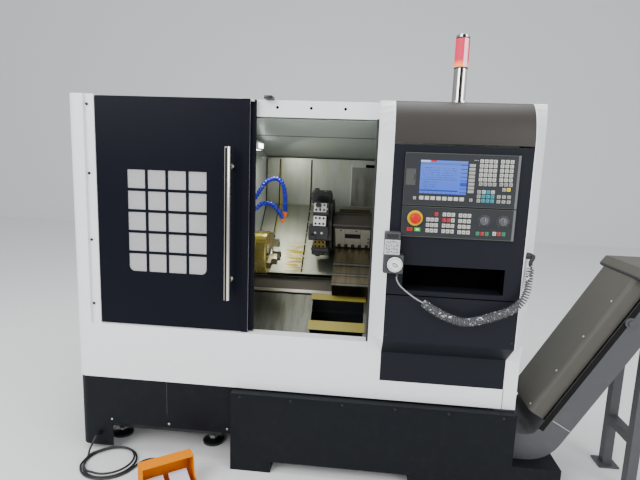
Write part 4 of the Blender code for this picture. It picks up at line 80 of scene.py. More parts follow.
# Turns of a ring that lies flat, so that it faces right, left or the front
TO_RIGHT, TO_LEFT, TO_FRONT = (0, math.pi / 2, 0), (0, -math.pi / 2, 0), (math.pi / 2, 0, 0)


def at(x, y, z):
    """A point of the machine's own frame in the model's frame."""
    return ORIGIN + Vector((x, y, z))


def node_box(name):
    """A node's corners in the machine's own frame."""
    return tuple(Vector(c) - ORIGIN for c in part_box(name))


# The control's two units and the screen
DISPLAY_LOW, DISPLAY_HIGH = node_box("display_unit")
OPERATOR_LOW, OPERATOR_HIGH = node_box("operator_panel")
UNIT_LEFT, UNIT_FRONT = DISPLAY_LOW.x, DISPLAY_LOW.y
SCREEN_LEFT, SCREEN_TOP = UNIT_LEFT + 0.0585, DISPLAY_HIGH.z - 0.0255
SCREEN_RIGHT, SCREEN_FOOT = SCREEN_LEFT + 0.173, SCREEN_TOP - 0.131
# The slanted bed and the axes of spindle and turret, as y and z
SLOPE, SLOPE_FOOT = math.radians(45), (0.4, 0.8)
SPINDLE, TURRET_AXIS = (0.25504, 0.93081), (0.38939, 1.06517)
# The foot switch on the floor as x and y, and the foot of the conveyor's incline as x and z
FOOT_FRAME, FOOT_TURN = (-0.492, -0.16), math.radians(37)
INCLINE, INCLINE_FOOT = math.radians(60), (1.1681, 0.2133)


def up_slope(x, u, n):
    """A point u up the slanted bed and n out of it."""
    c = math.cos(SLOPE)
    return at(x, SLOPE_FOOT[0] + c * (u - n), SLOPE_FOOT[1] + c * (u + n))


def up_incline(s, y, n):
    """A point s up the conveyor's incline and n out of its floor."""
    c, d = math.cos(INCLINE), math.sin(INCLINE)
    return at(INCLINE_FOOT[0] + c * s - d * n, y, INCLINE_FOOT[1] + d * s + c * n)


# Shader and geometry trees

class Wire:
    """An output socket on which the usual operators add Math nodes."""

    def __init__(self, tree, socket):
        self.tree, self.socket = tree, socket

    def math(self, operation, *values):
        return self.tree.node("ShaderNodeMath", dict(enumerate(values)), operation=operation)

    def held(self):
        """Kept between 0 and 1."""
        return self.math("MINIMUM", self.math("MAXIMUM", self, 0.0), 1.0)


def math_method(operation):
    """A Wire's method for one Math operation."""
    return lambda self, *others: self.math(operation, self, *others)


for method, operation in {
        "__add__": "ADD", "__radd__": "ADD", "__sub__": "SUBTRACT", "__mul__": "MULTIPLY", "__truediv__": "DIVIDE",
        "__pow__": "POWER", "__gt__": "GREATER_THAN", "__lt__": "LESS_THAN", "wave": "SINE", "part": "FRACT"}.items():
    setattr(Wire, method, math_method(operation))


class Tree:
    """A node tree with one way of adding any node."""

    def __init__(self, tree):
        self.tree = tree

    def feed(self, socket, value):
        if isinstance(value, Wire):
            self.tree.links.new(value.socket, socket)
        else:
            socket.default_value = value

    def node(self, kind, values=None, output=0, **settings):
        made = self.tree.nodes.new(kind)
        for key, value in settings.items():
            setattr(made, key, value)
        for key, value in (values or {}).items():
            self.feed(made.inputs[key], value)
        return Wire(self, made.outputs[output])


class Finish(Tree):
    """A material on the Principled shader, with the patterns that the finishes share."""

    def __init__(self, name, colour, roughness=0.5, metallic=0.0, specular=0.5, coat=0.0):
        self.material = bpy.data.materials.new(name)
        self.material.use_nodes = True
        super().__init__(self.material.node_tree)
        self.shader = self.tree.nodes["Principled BSDF"]
        self.colour = (*colour, 1)
        for socket, value in (("Base Color", self.colour), ("Roughness", roughness), ("Metallic", metallic),
                              ("Specular IOR Level", specular), ("Coat Weight", coat)):
            self.set(socket, value)
        self.place = self.node("ShaderNodeTexCoord", output=3)

    def set(self, socket, value):
        self.feed(self.shader.inputs[socket], value)
        return self

    def axes(self):
        found = self.node("ShaderNodeSeparateXYZ", {0: self.place})
        return [Wire(self, found.socket.node.outputs[k]) for k in range(3)]

    def stretched(self, *scale):
        return self.node("ShaderNodeVectorMath", {0: self.place, 1: scale}, operation="MULTIPLY")

    def noise(self, scale, detail=3.0, place=None):
        return self.node("ShaderNodeTexNoise", {"Vector": place or self.place, "Scale": scale, "Detail": detail,
                                                "Roughness": 0.55})

    def between(self, value, low, high):
        """0 at one value and 1 at the other, with soft ends."""
        return self.node("ShaderNodeMapRange", {"Value": value, "From Min": low, "From Max": high},
                         interpolation_type="SMOOTHSTEP")

    def mixed(self, share, first, second):
        return self.node("ShaderNodeMix", {"Factor": share, 6: first, 7: second}, 2, data_type="RGBA")

    def line(self, value, centre, half):
        """1 inside a soft-edged line across an axis, 0 outside."""
        return (self.between(value, centre - half, centre - half * 0.7)
                * self.between(value, centre + half, centre + half * 0.7))

    def tinted(self, share, colour):
        """Lays a second colour over the base by a share."""
        self.colour = self.mixed(share, self.colour, (*colour, 1))
        return self.set("Base Color", self.colour)

    def bumped(self, height, strength, distance):
        return self.set("Normal", self.node("ShaderNodeBump", {"Height": height, "Strength": strength,
                                                               "Distance": distance}))


def powder_coat(name, colour, roughness, peel=0.1, dust=0.0, dust_colour=(0, 0, 0), marks=0.12, **plain):
    """Powder coat: fine orange peel, cloudy gloss and dust that thickens towards the floor."""
    paint = Finish(name, colour, roughness, **plain)
    cloud, fine = paint.noise(3.5, 4.0), paint.noise(900.0, 1.0)
    paint.set("Roughness", roughness + (cloud - 0.5) * marks)
    if dust:
        low = paint.between(paint.axes()[2], 0.75, 0.0)
        specks = paint.between(paint.noise(28.0, 6.0), 0.45, 0.75)
        paint.tinted((low * 0.75 + 0.06) * (specks * 0.8 + 0.2) * dust, dust_colour)
    return paint.bumped(fine, peel, 0.0004)


def brushed_sheet(name, colour, roughness, grain=(1, 14, 14), stain=None, metallic=1.0, share=0.75, pool=None):
    """Rolled or ground sheet: fine scratches, water marks, an oil stain down it and a pool of streaks."""
    paint = Finish(name, colour, roughness, metallic)
    scratches, cloud = paint.noise(55.0, 3.0, paint.stretched(*grain)), paint.noise(7.0, 5.0)
    if stain:
        runs = paint.noise(6.0, 6.0, paint.stretched(6.0, 1.2, 1.2))
        paint.tinted(paint.between(runs, 0.38, 0.72) * share, stain)
    if pool:
        low, high, soft = at(*pool[0]), at(*pool[1]), 0.025
        x, _, z = paint.axes()
        inside = paint.between(x, low.x - soft, low.x + soft) * paint.between(x, high.x + soft, high.x - soft)
        inside = inside * paint.between(z, low.z - soft, low.z + soft) * paint.between(z, high.z + soft, high.z - soft)
        streaks = paint.between(paint.noise(16.0, 5.0, paint.stretched(1.0, 6.0, 6.0)), 0.42, 0.58)
        paint.tinted(inside * (streaks * 0.8 + 0.2), (0.2, 0.155, 0.01))
    paint.set("Roughness", roughness + (scratches - 0.5) * 0.22 + (cloud - 0.5) * 0.25)
    return paint.bumped(scratches, 0.16, 0.0003)


def cast_metal(name, colour, roughness=0.55, metallic=0.25, grain=60.0, oil=0.0):
    """Cast, blackened or plated metal: a mottled skin, darker in patches."""
    paint = Finish(name, colour, roughness, metallic)
    skin = paint.noise(grain, 5.0)
    paint.tinted(paint.between(paint.noise(9.0, 5.0), 0.4, 0.7) * 0.35, [c * 0.6 for c in colour])
    paint.set("Roughness", roughness + (skin - 0.5) * 0.3 - oil)
    return paint.bumped(skin, 0.25, 0.0008)


def turned_steel(name, colour, centre, roughness, rings, oil_tint, metallic):
    """Oiled machined faces with fine concentric tool marks round an axis along X."""
    paint = Finish(name, colour, roughness, metallic)
    _, y, z = paint.axes()
    y0, z0 = at(0, *centre).y, centre[1]
    radius = ((y - y0) * (y - y0) + (z - z0) * (z - z0)) ** 0.5
    marks, cloud = (radius * rings).wave(), paint.noise(18.0, 4.0)
    paint.tinted(paint.between(cloud, 0.4, 0.65) * 0.8, oil_tint)
    paint.set("Roughness", roughness + marks * 0.04 + (cloud - 0.5) * 0.2)
    return paint.bumped(marks, 0.05, 0.0002)


def moulded(name, colour, roughness=0.5, grain=500.0, strength=0.08, **plain):
    """Moulded plastic or rubber with a fine grain."""
    paint = Finish(name, colour, roughness, **plain)
    paint.set("Roughness", roughness + (paint.noise(30.0) - 0.5) * 0.12)
    return paint.bumped(paint.noise(grain, 2.0), strength, 0.0003)


def polished(name, colour, roughness, lines=()):
    """Polished metal; dark upright lines stand for what a shop's walls lay on a round bar."""
    paint = Finish(name, colour, roughness, 1.0)
    x = paint.axes()[0]
    for centre, half, depth in lines:
        paint.tinted(paint.line(x, centre, half) * depth, [c * 0.03 for c in colour])
    return paint.set("Roughness", roughness + (paint.noise(40.0, 4.0) - 0.5) * 0.08)


def glowing(name, colour, strength, low=None, edges=None, shine=(), **plain):
    """A lit surface. With a second colour and two heights it fades from one to the other, and pale upright
    lines stand for a window on a round lens."""
    paint = Finish(name, colour, 0.3, **plain)
    glow = (*colour, 1)
    x, _, z = paint.axes()
    if low:
        glow = paint.mixed(paint.between(z, *edges), (*low, 1), glow)
    for centre, half, depth in shine:
        glow = paint.mixed(paint.line(x, centre, half) * depth, glow, (1.0, 0.62, 0.72, 1))
    return paint.set("Base Color", glow).set("Emission Color", glow).set("Emission Strength", strength)


def screen_picture(name):
    """The screen: a pale blue page with a header, data rows, a table and a column of soft key labels."""
    low, high = at(SCREEN_LEFT, UNIT_FRONT, SCREEN_FOOT), at(SCREEN_RIGHT, UNIT_FRONT, SCREEN_TOP)
    paint = Finish(name, (0.004, 0.005, 0.01), 0.35, specular=0.1)
    x, _, z = paint.axes()
    u, v = (x - low.x) / (high.x - low.x), (z - low.z) / (high.z - low.z)

    def area(u0, u1, v0, v1):
        return (u > u0) * (u < u1) * (v > v0) * (v < v1)

    page = paint.mixed(v, (0.085, 0.19, 0.95, 1), (0.14, 0.27, 1.0, 1))
    rows = ((v * 15.0).part() > 0.45) * ((v * 15.0).part() < 0.82)
    words = paint.noise(1.0, 0.0, paint.stretched(420.0, 1.0, 120.0)) > 0.52
    lines = rows * words * (area(0.05, 0.78, 0.46, 0.8) + area(0.05, 0.4, 0.15, 0.4))
    for share, colour in ((area(0.0, 1.0, 0.86, 0.93) * 0.5, (0.08, 0.16, 0.55)),
                          (area(0.02, 0.8, 0.44, 0.455) * 0.8, (0.05, 0.1, 0.45)),
                          (area(0.0, 0.82, 0.115, 0.15), (0.03, 0.07, 0.35)),
                          (lines * 0.65, (0.04, 0.06, 0.3)),
                          (area(0.0, 0.2, 0.935, 1.0), (0.75, 0.85, 1.0)),
                          (area(0.22, 0.34, 0.945, 0.99), (0.7, 0.03, 0.05)),
                          (area(0.86, 1.0, 0.04, 0.9) * ((v * 9.0).part() > 0.78), (0.05, 0.1, 0.5)),
                          (area(0.86, 1.0, 0.28, 0.38), (0.03, 0.08, 0.62)),
                          (area(0.0, 0.78, 0.0, 0.09) * ((u * 10.3).part() > 0.9), (0.05, 0.1, 0.5))):
        page = paint.mixed(share, page, (*colour, 1))
    return paint.set("Emission Color", page).set("Emission Strength", 1.15)


def clear_sheet(name, tint, alpha, roughness, crinkle=0.0):
    """A clear pane, or a crinkled sleeve whose folds are less clear."""
    paint = Finish(name, tint, roughness).set("Alpha", alpha)
    if crinkle:
        folds_and_glints = paint.noise(75.0, 3.0, paint.stretched(1.0, 1.0, 1.6))
        # Less clear folds show the sleeve's pale tint: painted glints
        paint.set("Alpha", (alpha + paint.between(folds_and_glints, 0.6, 0.67) * 0.72).held())
        paint.bumped(folds_and_glints, crinkle, 0.004)
    return paint


def plain_floor(name, colour):
    """A plain floor with a faintly cloudy gloss."""
    paint = Finish(name, colour, 0.55)
    return paint.set("Roughness", 0.5 + paint.noise(1.2) * 0.12)


def bar_reflection_lines(node, *shares):
    """Lines across a bar from shares of its width: middle, half width and depth."""
    low, high = (Vector(corner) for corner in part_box(node))
    return [(low.x + (high.x - low.x) * middle, (high.x - low.x) * half, depth) for middle, half, depth in shares]


def make_finishes(look):
    """Every finish by name."""
    lens_foot = node_box("tower_lens")[0].z
    return {
        "white": powder_coat("white_enamel", look.white, 0.34, 0.1, 0.22, (0.42, 0.4, 0.37), coat=0.12),
        "door": powder_coat("door_enamel", look.door, 0.36, 0.14, specular=0.08),
        "console": powder_coat("console_enamel", look.console, 0.5, 0.22, specular=0.16),
        "hood": powder_coat("hood_enamel", look.hood, 0.4, 0.25, specular=0.35),
        "base": powder_coat("plinth_enamel", look.base, 0.5, 0.15, 0.05, (0.1, 0.1, 0.11), specular=0.14),
        "conveyor": powder_coat("conveyor_enamel", look.conveyor, 0.45, 0.25, 0.12, (0.16, 0.15, 0.14),
                                specular=0.4),
        "conveyor_top": powder_coat("conveyor_cover_enamel", look.conveyor_cover, 0.5, 0.25, 0.1,
                                    (0.18, 0.17, 0.15), specular=0.4),
        "liner": powder_coat("splash_guard_enamel", (0.42, 0.47, 0.42), 0.36, 0.12),
        # Near-black painted shade of the pit, laid on the bed and the base casting
        "pit": powder_coat("pit_black", (0.008, 0.009, 0.01), 0.3, 0.2),
        "lamp_body": powder_coat("lamp_casing", (0.62, 0.64, 0.66), 0.35),
        "guard": powder_coat("guard_enamel", look.guard, 0.55, 0.08, marks=0.0, specular=0.0),
        "bars": powder_coat("pit_bar_enamel", (0.3, 0.25, 0.035), 0.4, 0.2),
        "stainless": brushed_sheet("way_cover_steel", (0.31, 0.33, 0.28), 0.4, stain=(0.24, 0.23, 0.12), share=0.35,
                                   pool=((-0.095, 0, 0.81), (0, 0, 0.93))),
        "ledge": brushed_sheet("ledge_steel", (0.42, 0.41, 0.36), 0.34, (14, 1, 1)),
        "slide": brushed_sheet("slide_cover_steel", (0.13, 0.11, 0.07), 0.34, stain=(0.07, 0.055, 0.03)),
        "chute": brushed_sheet("chute_steel", (0.17, 0.18, 0.155), 0.42, (14, 1, 1), (0.11, 0.1, 0.065)),
        "silver": brushed_sheet("pendant_plate", (0.52, 0.52, 0.52), 0.34, (1, 10, 10), metallic=0.35),
        # Dark strip of painted shade in the channel under the chuck
        "dark_band": cast_metal("oily_band", (0.06, 0.052, 0.036), 0.45, 0.2, 80.0),
        "cast": cast_metal("painted_casting", (0.16, 0.17, 0.17), 0.5, 0.1),
        "headstock": cast_metal("headstock_casting", (0.22, 0.2, 0.12), 0.42, 0.3, oil=0.05),
        "housing": cast_metal("turret_casting", (0.03, 0.026, 0.02), 0.4, 0.2, 90.0),
        "clamp": cast_metal("clamp_plate_steel", (0.66, 0.65, 0.56), 0.36, 0.75, 130.0),
        "turret": cast_metal("turret_steel", (0.02, 0.02, 0.02), 0.36, 0.5, 120.0),
        "holder": cast_metal("tool_block_steel", (0.62, 0.61, 0.56), 0.34, 0.8, 140.0),
        "holder_gold": cast_metal("oiled_block_steel", (0.48, 0.38, 0.12), 0.3, 0.8, 140.0),
        "jaw": cast_metal("jaw_steel", (0.22, 0.2, 0.11), 0.3, 0.85, 150.0),
        "zinc": cast_metal("zinc_screws", (0.45, 0.45, 0.44), 0.4, 0.9, 300.0),
        "black_screw": cast_metal("black_screws", (0.022, 0.022, 0.024), 0.35, 0.6, 300.0),
        "chuck": turned_steel("chuck_steel", (0.52, 0.44, 0.14), SPINDLE, 0.24, 800.0, (0.5, 0.38, 0.025), 0.78),
        "steel": polished("bright_steel", (0.62, 0.61, 0.6), 0.14),
        # Dark upright lines on the handle and on the tower's pole are painted reflections
        "handle": polished("handle_steel", (0.8, 0.76, 0.69), 0.16,
                           bar_reflection_lines("door_handle", (0.4, 0.2, 1.0), (0.95, 0.12, 0.7))),
        "chrome": polished("tower_chrome", (0.8, 0.77, 0.75), 0.09,
                           bar_reflection_lines("tower_pole", (0.5, 0.1, 1.0), (0.22, 0.16, 0.55))),
        "gold": polished("insert_coating", (0.75, 0.52, 0.16), 0.25),
        # The panes' half-clear pale grey is partly dirt and partly a painted reflection of the pale room
        "glass": clear_sheet("window_pane", (0.5, 0.49, 0.5), 0.62, 0.08),
        "sleeve": clear_sheet("clear_sleeve", (0.74, 0.76, 0.79), 0.06, 0.08, 0.9),
        "seam": moulded("seam_black", (0.002, 0.002, 0.002), 0.7, specular=0.0),
        # Black of the painted shade in the conveyor's groove
        "groove": moulded("groove_black", (0.006, 0.006, 0.006), 0.7, specular=0.12),
        "plastic": moulded("dark_plastic", (0.016, 0.017, 0.02), 0.42),
        "bezel": moulded("control_front", (0.019, 0.021, 0.024), 0.45, 600.0, specular=0.3),
        "flap": moulded("flap_front", (0.055, 0.058, 0.054), 0.5, 600.0, specular=0.3),
        "rim": moulded("control_rim", (0.105, 0.11, 0.112), 0.4, 600.0),
        "knob": moulded("knob_grey", (0.085, 0.09, 0.097), 0.45, 600.0),
        "black": moulded("black_plastic", (0.009, 0.009, 0.01), 0.4),
        "rubber": moulded("black_rubber", (0.01, 0.01, 0.011), 0.65, 300.0, 0.15),
        # Pale grey-blue of the painted highlights on the door's closing edge
        "closing_edge_highlight": moulded("door_edge_grey", (0.2, 0.23, 0.32), 0.42, 400.0),
        "key": moulded("pale_keys", (0.42, 0.42, 0.38), 0.5, 700.0),
        "key_mark": moulded("key_marks", (0.03, 0.03, 0.035)),
        "key_dim": moulded("grey_keys", (0.27, 0.27, 0.25), 0.5, 700.0),
        "key_cyan": moulded("cyan_keys", (0.018, 0.23, 0.27), 0.45),
        "key_yellow": moulded("yellow_key", (0.62, 0.47, 0.01), 0.4),
        "key_red": moulded("red_keys", (0.38, 0.01, 0.018), 0.4),
        "key_green": moulded("green_keys", (0.005, 0.2, 0.085), 0.4),
        "stop": moulded("stop_red", (0.42, 0.006, 0.012), 0.35),
        "estop": moulded("mushroom_red", (0.5, 0.006, 0.003), 0.42, 300.0, 0.03, specular=0.25),
        "estop_ring": moulded("mushroom_yellow", (0.64, 0.39, 0.002), specular=0.15),
        "white_mark": moulded("white_marks", (0.72, 0.72, 0.7)),
        "hose": moulded("blue_hose", look.hose, 0.3, 300.0, 0.03),
        "nozzle": moulded("orange_nozzle", (0.9, 0.22, 0.02), 0.35),
        "cable": moulded("black_cable", (0.011, 0.011, 0.012), 0.45, 400.0),
        "lead": moulded("pale_lead", (0.24, 0.24, 0.25), 0.4, 400.0),
        "pedal": moulded("pedal_rubber", (0.56, 0.54, 0.62), 0.6, 250.0, 0.2),
        "pendant": moulded("pendant_plastic", (0.035, 0.035, 0.04), 0.45),
        "dial": moulded("dial_plate", (0.76, 0.76, 0.75), 0.3, 400.0, 0.03),
        "start": glowing("start_light", (0.0, 0.42, 0.015), 0.3),
        "lamp": glowing("lamp_light", (1.0, 0.99, 0.95), look.lamp),
        # The lens glows as the tower's lamp; its pale upright band is a painted reflection of a window
        "lens": glowing("tower_lens_light", (0.62, 0.035, 0.085), 0.42, (1.0, 0.3, 0.09),
                        (lens_foot + 0.006, lens_foot + 0.03), bar_reflection_lines("tower_lens", (0.71, 0.17, 0.85)),
                        specular=0.1),
        "screen": screen_picture("lit_screen"),
        "floor": plain_floor("pale_floor", look.floor),
    }


FINISHES = {}

# Mesh tools
# Small meshes that patterns copy and the curves that they follow, removed after each step
UNITS = []


def new_object(name, data):
    """An object of some data, linked to the scene."""
    made = bpy.data.objects.new(name, data)
    bpy.context.collection.objects.link(made)
    return made


def loose(name, work, paint=None):
    """A mesh object from a bmesh, with its finish."""
    mesh = bpy.data.meshes.new(name)
    work.to_mesh(mesh)
    work.free()
    if paint:
        mesh.materials.append(FINISHES[paint].material)
    return new_object(name, mesh)


def unit(name, work):
    """A small mesh for a pattern."""
    UNITS.append(loose(name, work))
    return UNITS[-1]


def fitted(made, body, slot, angle=32.0):
    """Shades a finished piece, hangs it on a body and names its material slot."""
    made.data.shade_smooth()
    made.data.set_sharp_from_angle(angle=math.radians(angle))
    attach(made, body)
    return made


def piece(name, paint, slot, work, body="machine", angle=32.0):
    """A finished piece from a bmesh."""
    return fitted(loose(name, work, paint), body, slot, angle)


def block(work, place, size, round_off=0.0, segments=1):
    """A box of a size under a matrix in a bmesh, with round edges."""
    made = bmesh.ops.create_cube(work, size=1.0, matrix=place @ Matrix.Diagonal((*size, 1)))["verts"]
    if round_off:
        edges = list({e for v in made for e in v.link_edges})
        bmesh.ops.bevel(work, geom=edges, offset=round_off, segments=segments, profile=0.5, affect="EDGES",
                        clamp_overlap=True)
    return work


def add_box(work, low, high, round_off=0.0, segments=2, turn=Matrix()):
    """A box between two corners in a bmesh."""
    low, high = Vector(low), Vector(high)
    return block(work, Matrix.Translation((low + high) / 2) @ turn, high - low, round_off, segments)


def stud(work, place, axis, radii, depth):
    """A short cone under a matrix in a bmesh, turned onto an axis."""
    bmesh.ops.create_cone(work, cap_ends=True, segments=10, radius1=radii[0], radius2=radii[1], depth=depth,
                          matrix=place @ Matrix.Rotation(math.radians(90), 4, axis))


def skinned(work, rings):
    """Rings of points joined into one closed skin in a bmesh."""
    rings = [[work.verts.new(point) for point in ring] for ring in rings]
    for lower, upper in zip(rings, rings[1:]):
        for i in range(len(lower)):
            j = (i + 1) % len(lower)
            work.faces.new((lower[i], lower[j], upper[j], upper[i]))
    work.faces.new(rings[0][::-1])
    work.faces.new(rings[-1])
    return work


def circle(steps):
    """Cosine and sine of each step round a circle."""
    return [(math.cos(math.tau * i / steps), math.sin(math.tau * i / steps)) for i in range(steps)]


def add_turned(work, profile, centre=(0, 0, 0), along=UP, steps=24):
    """A turned solid of (radius, height) pairs in a bmesh."""
    spin = Vector(UP).rotation_difference(Vector(along)).to_matrix()
    return skinned(work, [[Vector(centre) + spin @ Vector((radius * c, radius * s, height)) for c, s in circle(steps)]
                          for radius, height in profile])


def framed(route):
    """Each point of a route with two directions square to it, which don't twist."""
    ways = [(route[min(i + 1, len(route) - 1)] - route[max(i - 1, 0)]).normalized() for i in range(len(route))]
    side = ways[0].orthogonal().normalized()
    for point, way in zip(route, ways):
        side = (side - way * side.dot(way)).normalized()
        yield point, side, way.cross(side)


def add_swept(work, route, radii, sides):
    """A round solid along a route in a bmesh, with a radius at each point."""
    return skinned(work, [[point + side * (radius * c) + other * (radius * s) for c, s in circle(sides)]
                          for (point, side, other), radius in zip(framed(route), radii)])


def boxes(name, paint, slot, corners, round_off=0.0, segments=2, body="machine"):
    """One piece made of boxes, each given by its low and high corners in the machine's frame."""
    work = bmesh.new()
    for low, high in corners:
        add_box(work, at(*low), at(*high), round_off, segments)
    return piece(name, paint, slot, work, body)


def turned(name, paint, slot, profile, centre, along=UP, steps=32, body="machine"):
    """One turned piece about a point in the machine's frame."""
    return piece(name, paint, slot, add_turned(bmesh.new(), profile, at(*centre), along, steps), body)


def tube(name, paint, slot, route, radius, sides=10):
    """One round piece along a route."""
    return piece(name, paint, slot, add_swept(bmesh.new(), route, [radius] * len(route), sides), angle=60.0)


def smooth_route(points, step):
    """Points about a step apart on a smooth curve through the given ones."""
    p = [Vector(q) for q in points]
    p = [2 * p[0] - p[1]] + p + [2 * p[-1] - p[-2]]
    route = []
    for i in range(1, len(p) - 2):
        count = max(1, round((p[i + 1] - p[i]).length / step))
        for k in range(count):
            t = k / count
            bend = (2 * p[i - 1] - 5 * p[i] + 4 * p[i + 1] - p[i + 2]) * t ** 2
            twist = (3 * p[i] - p[i - 1] - 3 * p[i + 1] + p[i + 2]) * t ** 3
            route.append((2 * p[i] + (p[i + 1] - p[i - 1]) * t + bend + twist) / 2)
    return route + [p[-2]]


def route_length(route):
    """The length of a line of points."""
    return sum((b - a).length for a, b in zip(route, route[1:]))


# Geometry node patterns

OBJECT, COUNT, VECTOR, NUMBER = "NodeSocketObject", "NodeSocketInt", "NodeSocketVector", "NodeSocketFloat"


def new_pattern(name, **inputs):
    """A node group with the given inputs, a piece's mesh and a finish."""
    group = bpy.data.node_groups.new(name, "GeometryNodeTree")
    group.interface.new_socket("Geometry", in_out="OUTPUT", socket_type="NodeSocketGeometry")
    inputs = {"piece": OBJECT, **inputs, "finish": "NodeSocketMaterial"}
    for label, kind in inputs.items():
        group.interface.new_socket(label, in_out="INPUT", socket_type=kind)
    pattern = Tree(group)
    source = group.nodes.new("NodeGroupInput")
    given = {label: Wire(pattern, source.outputs[label]) for label in inputs}
    return pattern, given, mesh_of(pattern, given["piece"])


def mesh_of(pattern, item):
    """The mesh or curve of an object that a pattern is given."""
    return pattern.node("GeometryNodeObjectInfo", {"Object": item}, 4, transform_space="ORIGINAL")


def close_pattern(pattern, geometry, paint):
    """Makes the copies real, paints them and ends the node group."""
    real = pattern.node("GeometryNodeRealizeInstances", {0: geometry})
    painted = pattern.node("GeometryNodeSetMaterial", {"Geometry": real, "Material": paint})
    end = pattern.tree.nodes.new("NodeGroupOutput")
    pattern.tree.links.new(painted.socket, end.inputs[0])
    return pattern.tree


def rows_pattern():
    """Copies of a piece in rows and columns."""
    pattern, given, mesh = new_pattern("rows_and_columns", columns=COUNT, rows=COUNT, start=VECTOR,
                                       column_step=VECTOR, row_step=VECTOR)
    line = pattern.node("GeometryNodeMeshLine", {"Count": given["columns"], "Start Location": given["start"],
                                                 "Offset": given["column_step"]}, mode="OFFSET")
    fall = pattern.node("GeometryNodeMeshLine", {"Count": given["rows"], "Offset": given["row_step"]}, mode="OFFSET")
    lines = pattern.node("GeometryNodeInstanceOnPoints", {"Points": line, "Instance": fall})
    grid = pattern.node("GeometryNodeRealizeInstances", {0: lines})
    copies = pattern.node("GeometryNodeInstanceOnPoints", {"Points": grid, "Instance": mesh})
    return close_pattern(pattern, copies, given["finish"])


def ring_pattern():
    """Copies of a piece round a circle, each turned to face outwards."""
    pattern, given, mesh = new_pattern("ring_of_pieces", count=COUNT, radius=NUMBER, first=NUMBER, step=NUMBER,
                                       centre=VECTOR, turn=VECTOR)
    points = pattern.node("GeometryNodeMeshLine", {"Count": given["count"], "Offset": (0.0, 0.0, 0.0)}, mode="OFFSET")
    index = pattern.node("GeometryNodeInputIndex")
    angle = index.math("MULTIPLY_ADD", index, given["step"], given["first"])
    place = pattern.node("ShaderNodeCombineXYZ", {0: angle.math("COSINE", angle) * given["radius"],
                                                  1: angle.wave() * given["radius"]})
    placed = pattern.node("GeometryNodeSetPosition", {"Geometry": points, "Position": place})
    spin = pattern.node("ShaderNodeCombineXYZ", {2: angle})
    copies = pattern.node("GeometryNodeInstanceOnPoints", {"Points": placed, "Instance": mesh, "Rotation": spin})
    real = pattern.node("GeometryNodeRealizeInstances", {0: copies})
    lifted = pattern.node("GeometryNodeTransform", {"Geometry": real, "Translation": given["centre"],
                                                    "Rotation": given["turn"]})
    return close_pattern(pattern, lifted, given["finish"])


def route_pattern():
    """Copies of a piece along a curve, square to it."""
    pattern, given, mesh = new_pattern("pieces_on_a_route", route=OBJECT, count=COUNT)
    points = pattern.node("GeometryNodeCurveToPoints", {"Curve": mesh_of(pattern, given["route"]),
                                                        "Count": given["count"]}, mode="COUNT")
    spin = Wire(pattern, points.socket.node.outputs["Rotation"])
    copies = pattern.node("GeometryNodeInstanceOnPoints", {"Points": points, "Instance": mesh, "Rotation": spin})
    return close_pattern(pattern, copies, given["finish"])


PATTERNS = {}


def patterned(name, paint, slot, maker, body, **values):
    """Runs a pattern with its inputs and keeps the plain mesh that it makes."""
    if maker not in PATTERNS:
        PATTERNS[maker] = maker()
    group = PATTERNS[maker]
    identifiers = {item.name: item.identifier for item in group.interface.items_tree if item.in_out == "INPUT"}
    holder = new_object(name, bpy.data.meshes.new(name))
    step = holder.modifiers.new("pattern", "NODES")
    step.node_group = group
    for key, value in values.items():
        step[identifiers[key]] = tuple(float(v) for v in value) if isinstance(value, (Vector, tuple)) else value
    step[identifiers["finish"]] = FINISHES[paint].material
    bpy.context.view_layer.update()
    mesh = bpy.data.meshes.new_from_object(holder.evaluated_get(bpy.context.evaluated_depsgraph_get()))
    holder.modifiers.clear()
    holder.data = mesh
    return fitted(holder, body, slot)


def grid(name, paint, slot, item, start, columns=1, rows=1, step=(0, 0, 0), fall=(0, 0, 0), body="machine"):
    """Rows and columns of a small mesh."""
    patterned(name, paint, slot, rows_pattern, body, piece=item, columns=columns, rows=rows, start=start,
              column_step=step, row_step=fall)


def ring(name, paint, slot, item, centre, count, radius=0.0, first=0.0, step=None, turn=(0, 0, 0), body="machine"):
    """A small mesh all the way round a circle, or by a step of its own."""
    patterned(name, paint, slot, ring_pattern, body, piece=item, count=count, radius=radius, first=first,
              step=step or math.tau / count, centre=centre, turn=turn)


def threaded(name, paint, slot, item, route, count, twist="MINIMUM"):
    """A small mesh along a route."""
    line = bpy.data.curves.new("route", "CURVE")
    line.dimensions = "3D"
    line.twist_mode = twist
    spline = line.splines.new("POLY")
    spline.points.add(len(route) - 1)
    for target, point in zip(spline.points, route):
        target.co = (*point, 1)
    UNITS.append(new_object("route", line))
    patterned(name, paint, slot, route_pattern, "machine", piece=item, route=UNITS[-1], count=count)


# Screw heads as shares of radius and height: with a socket, and domed
SOCKET = ((1, -0.2), (1, 0.85), (0.88, 1), (0.5, 1), (0.45, 0.45))
DOME = ((1, -0.2), (1, 0.3), (0.8, 0.75), (0.45, 1), (0.35, 0.55))


def head(shape, radius, height, along=FRONT):
    """A screw's head for a pattern."""
    profile = [(radius * r, height * h) for r, h in shape]
    return unit("head", add_turned(bmesh.new(), profile, along=along, steps=12))


# Pieces

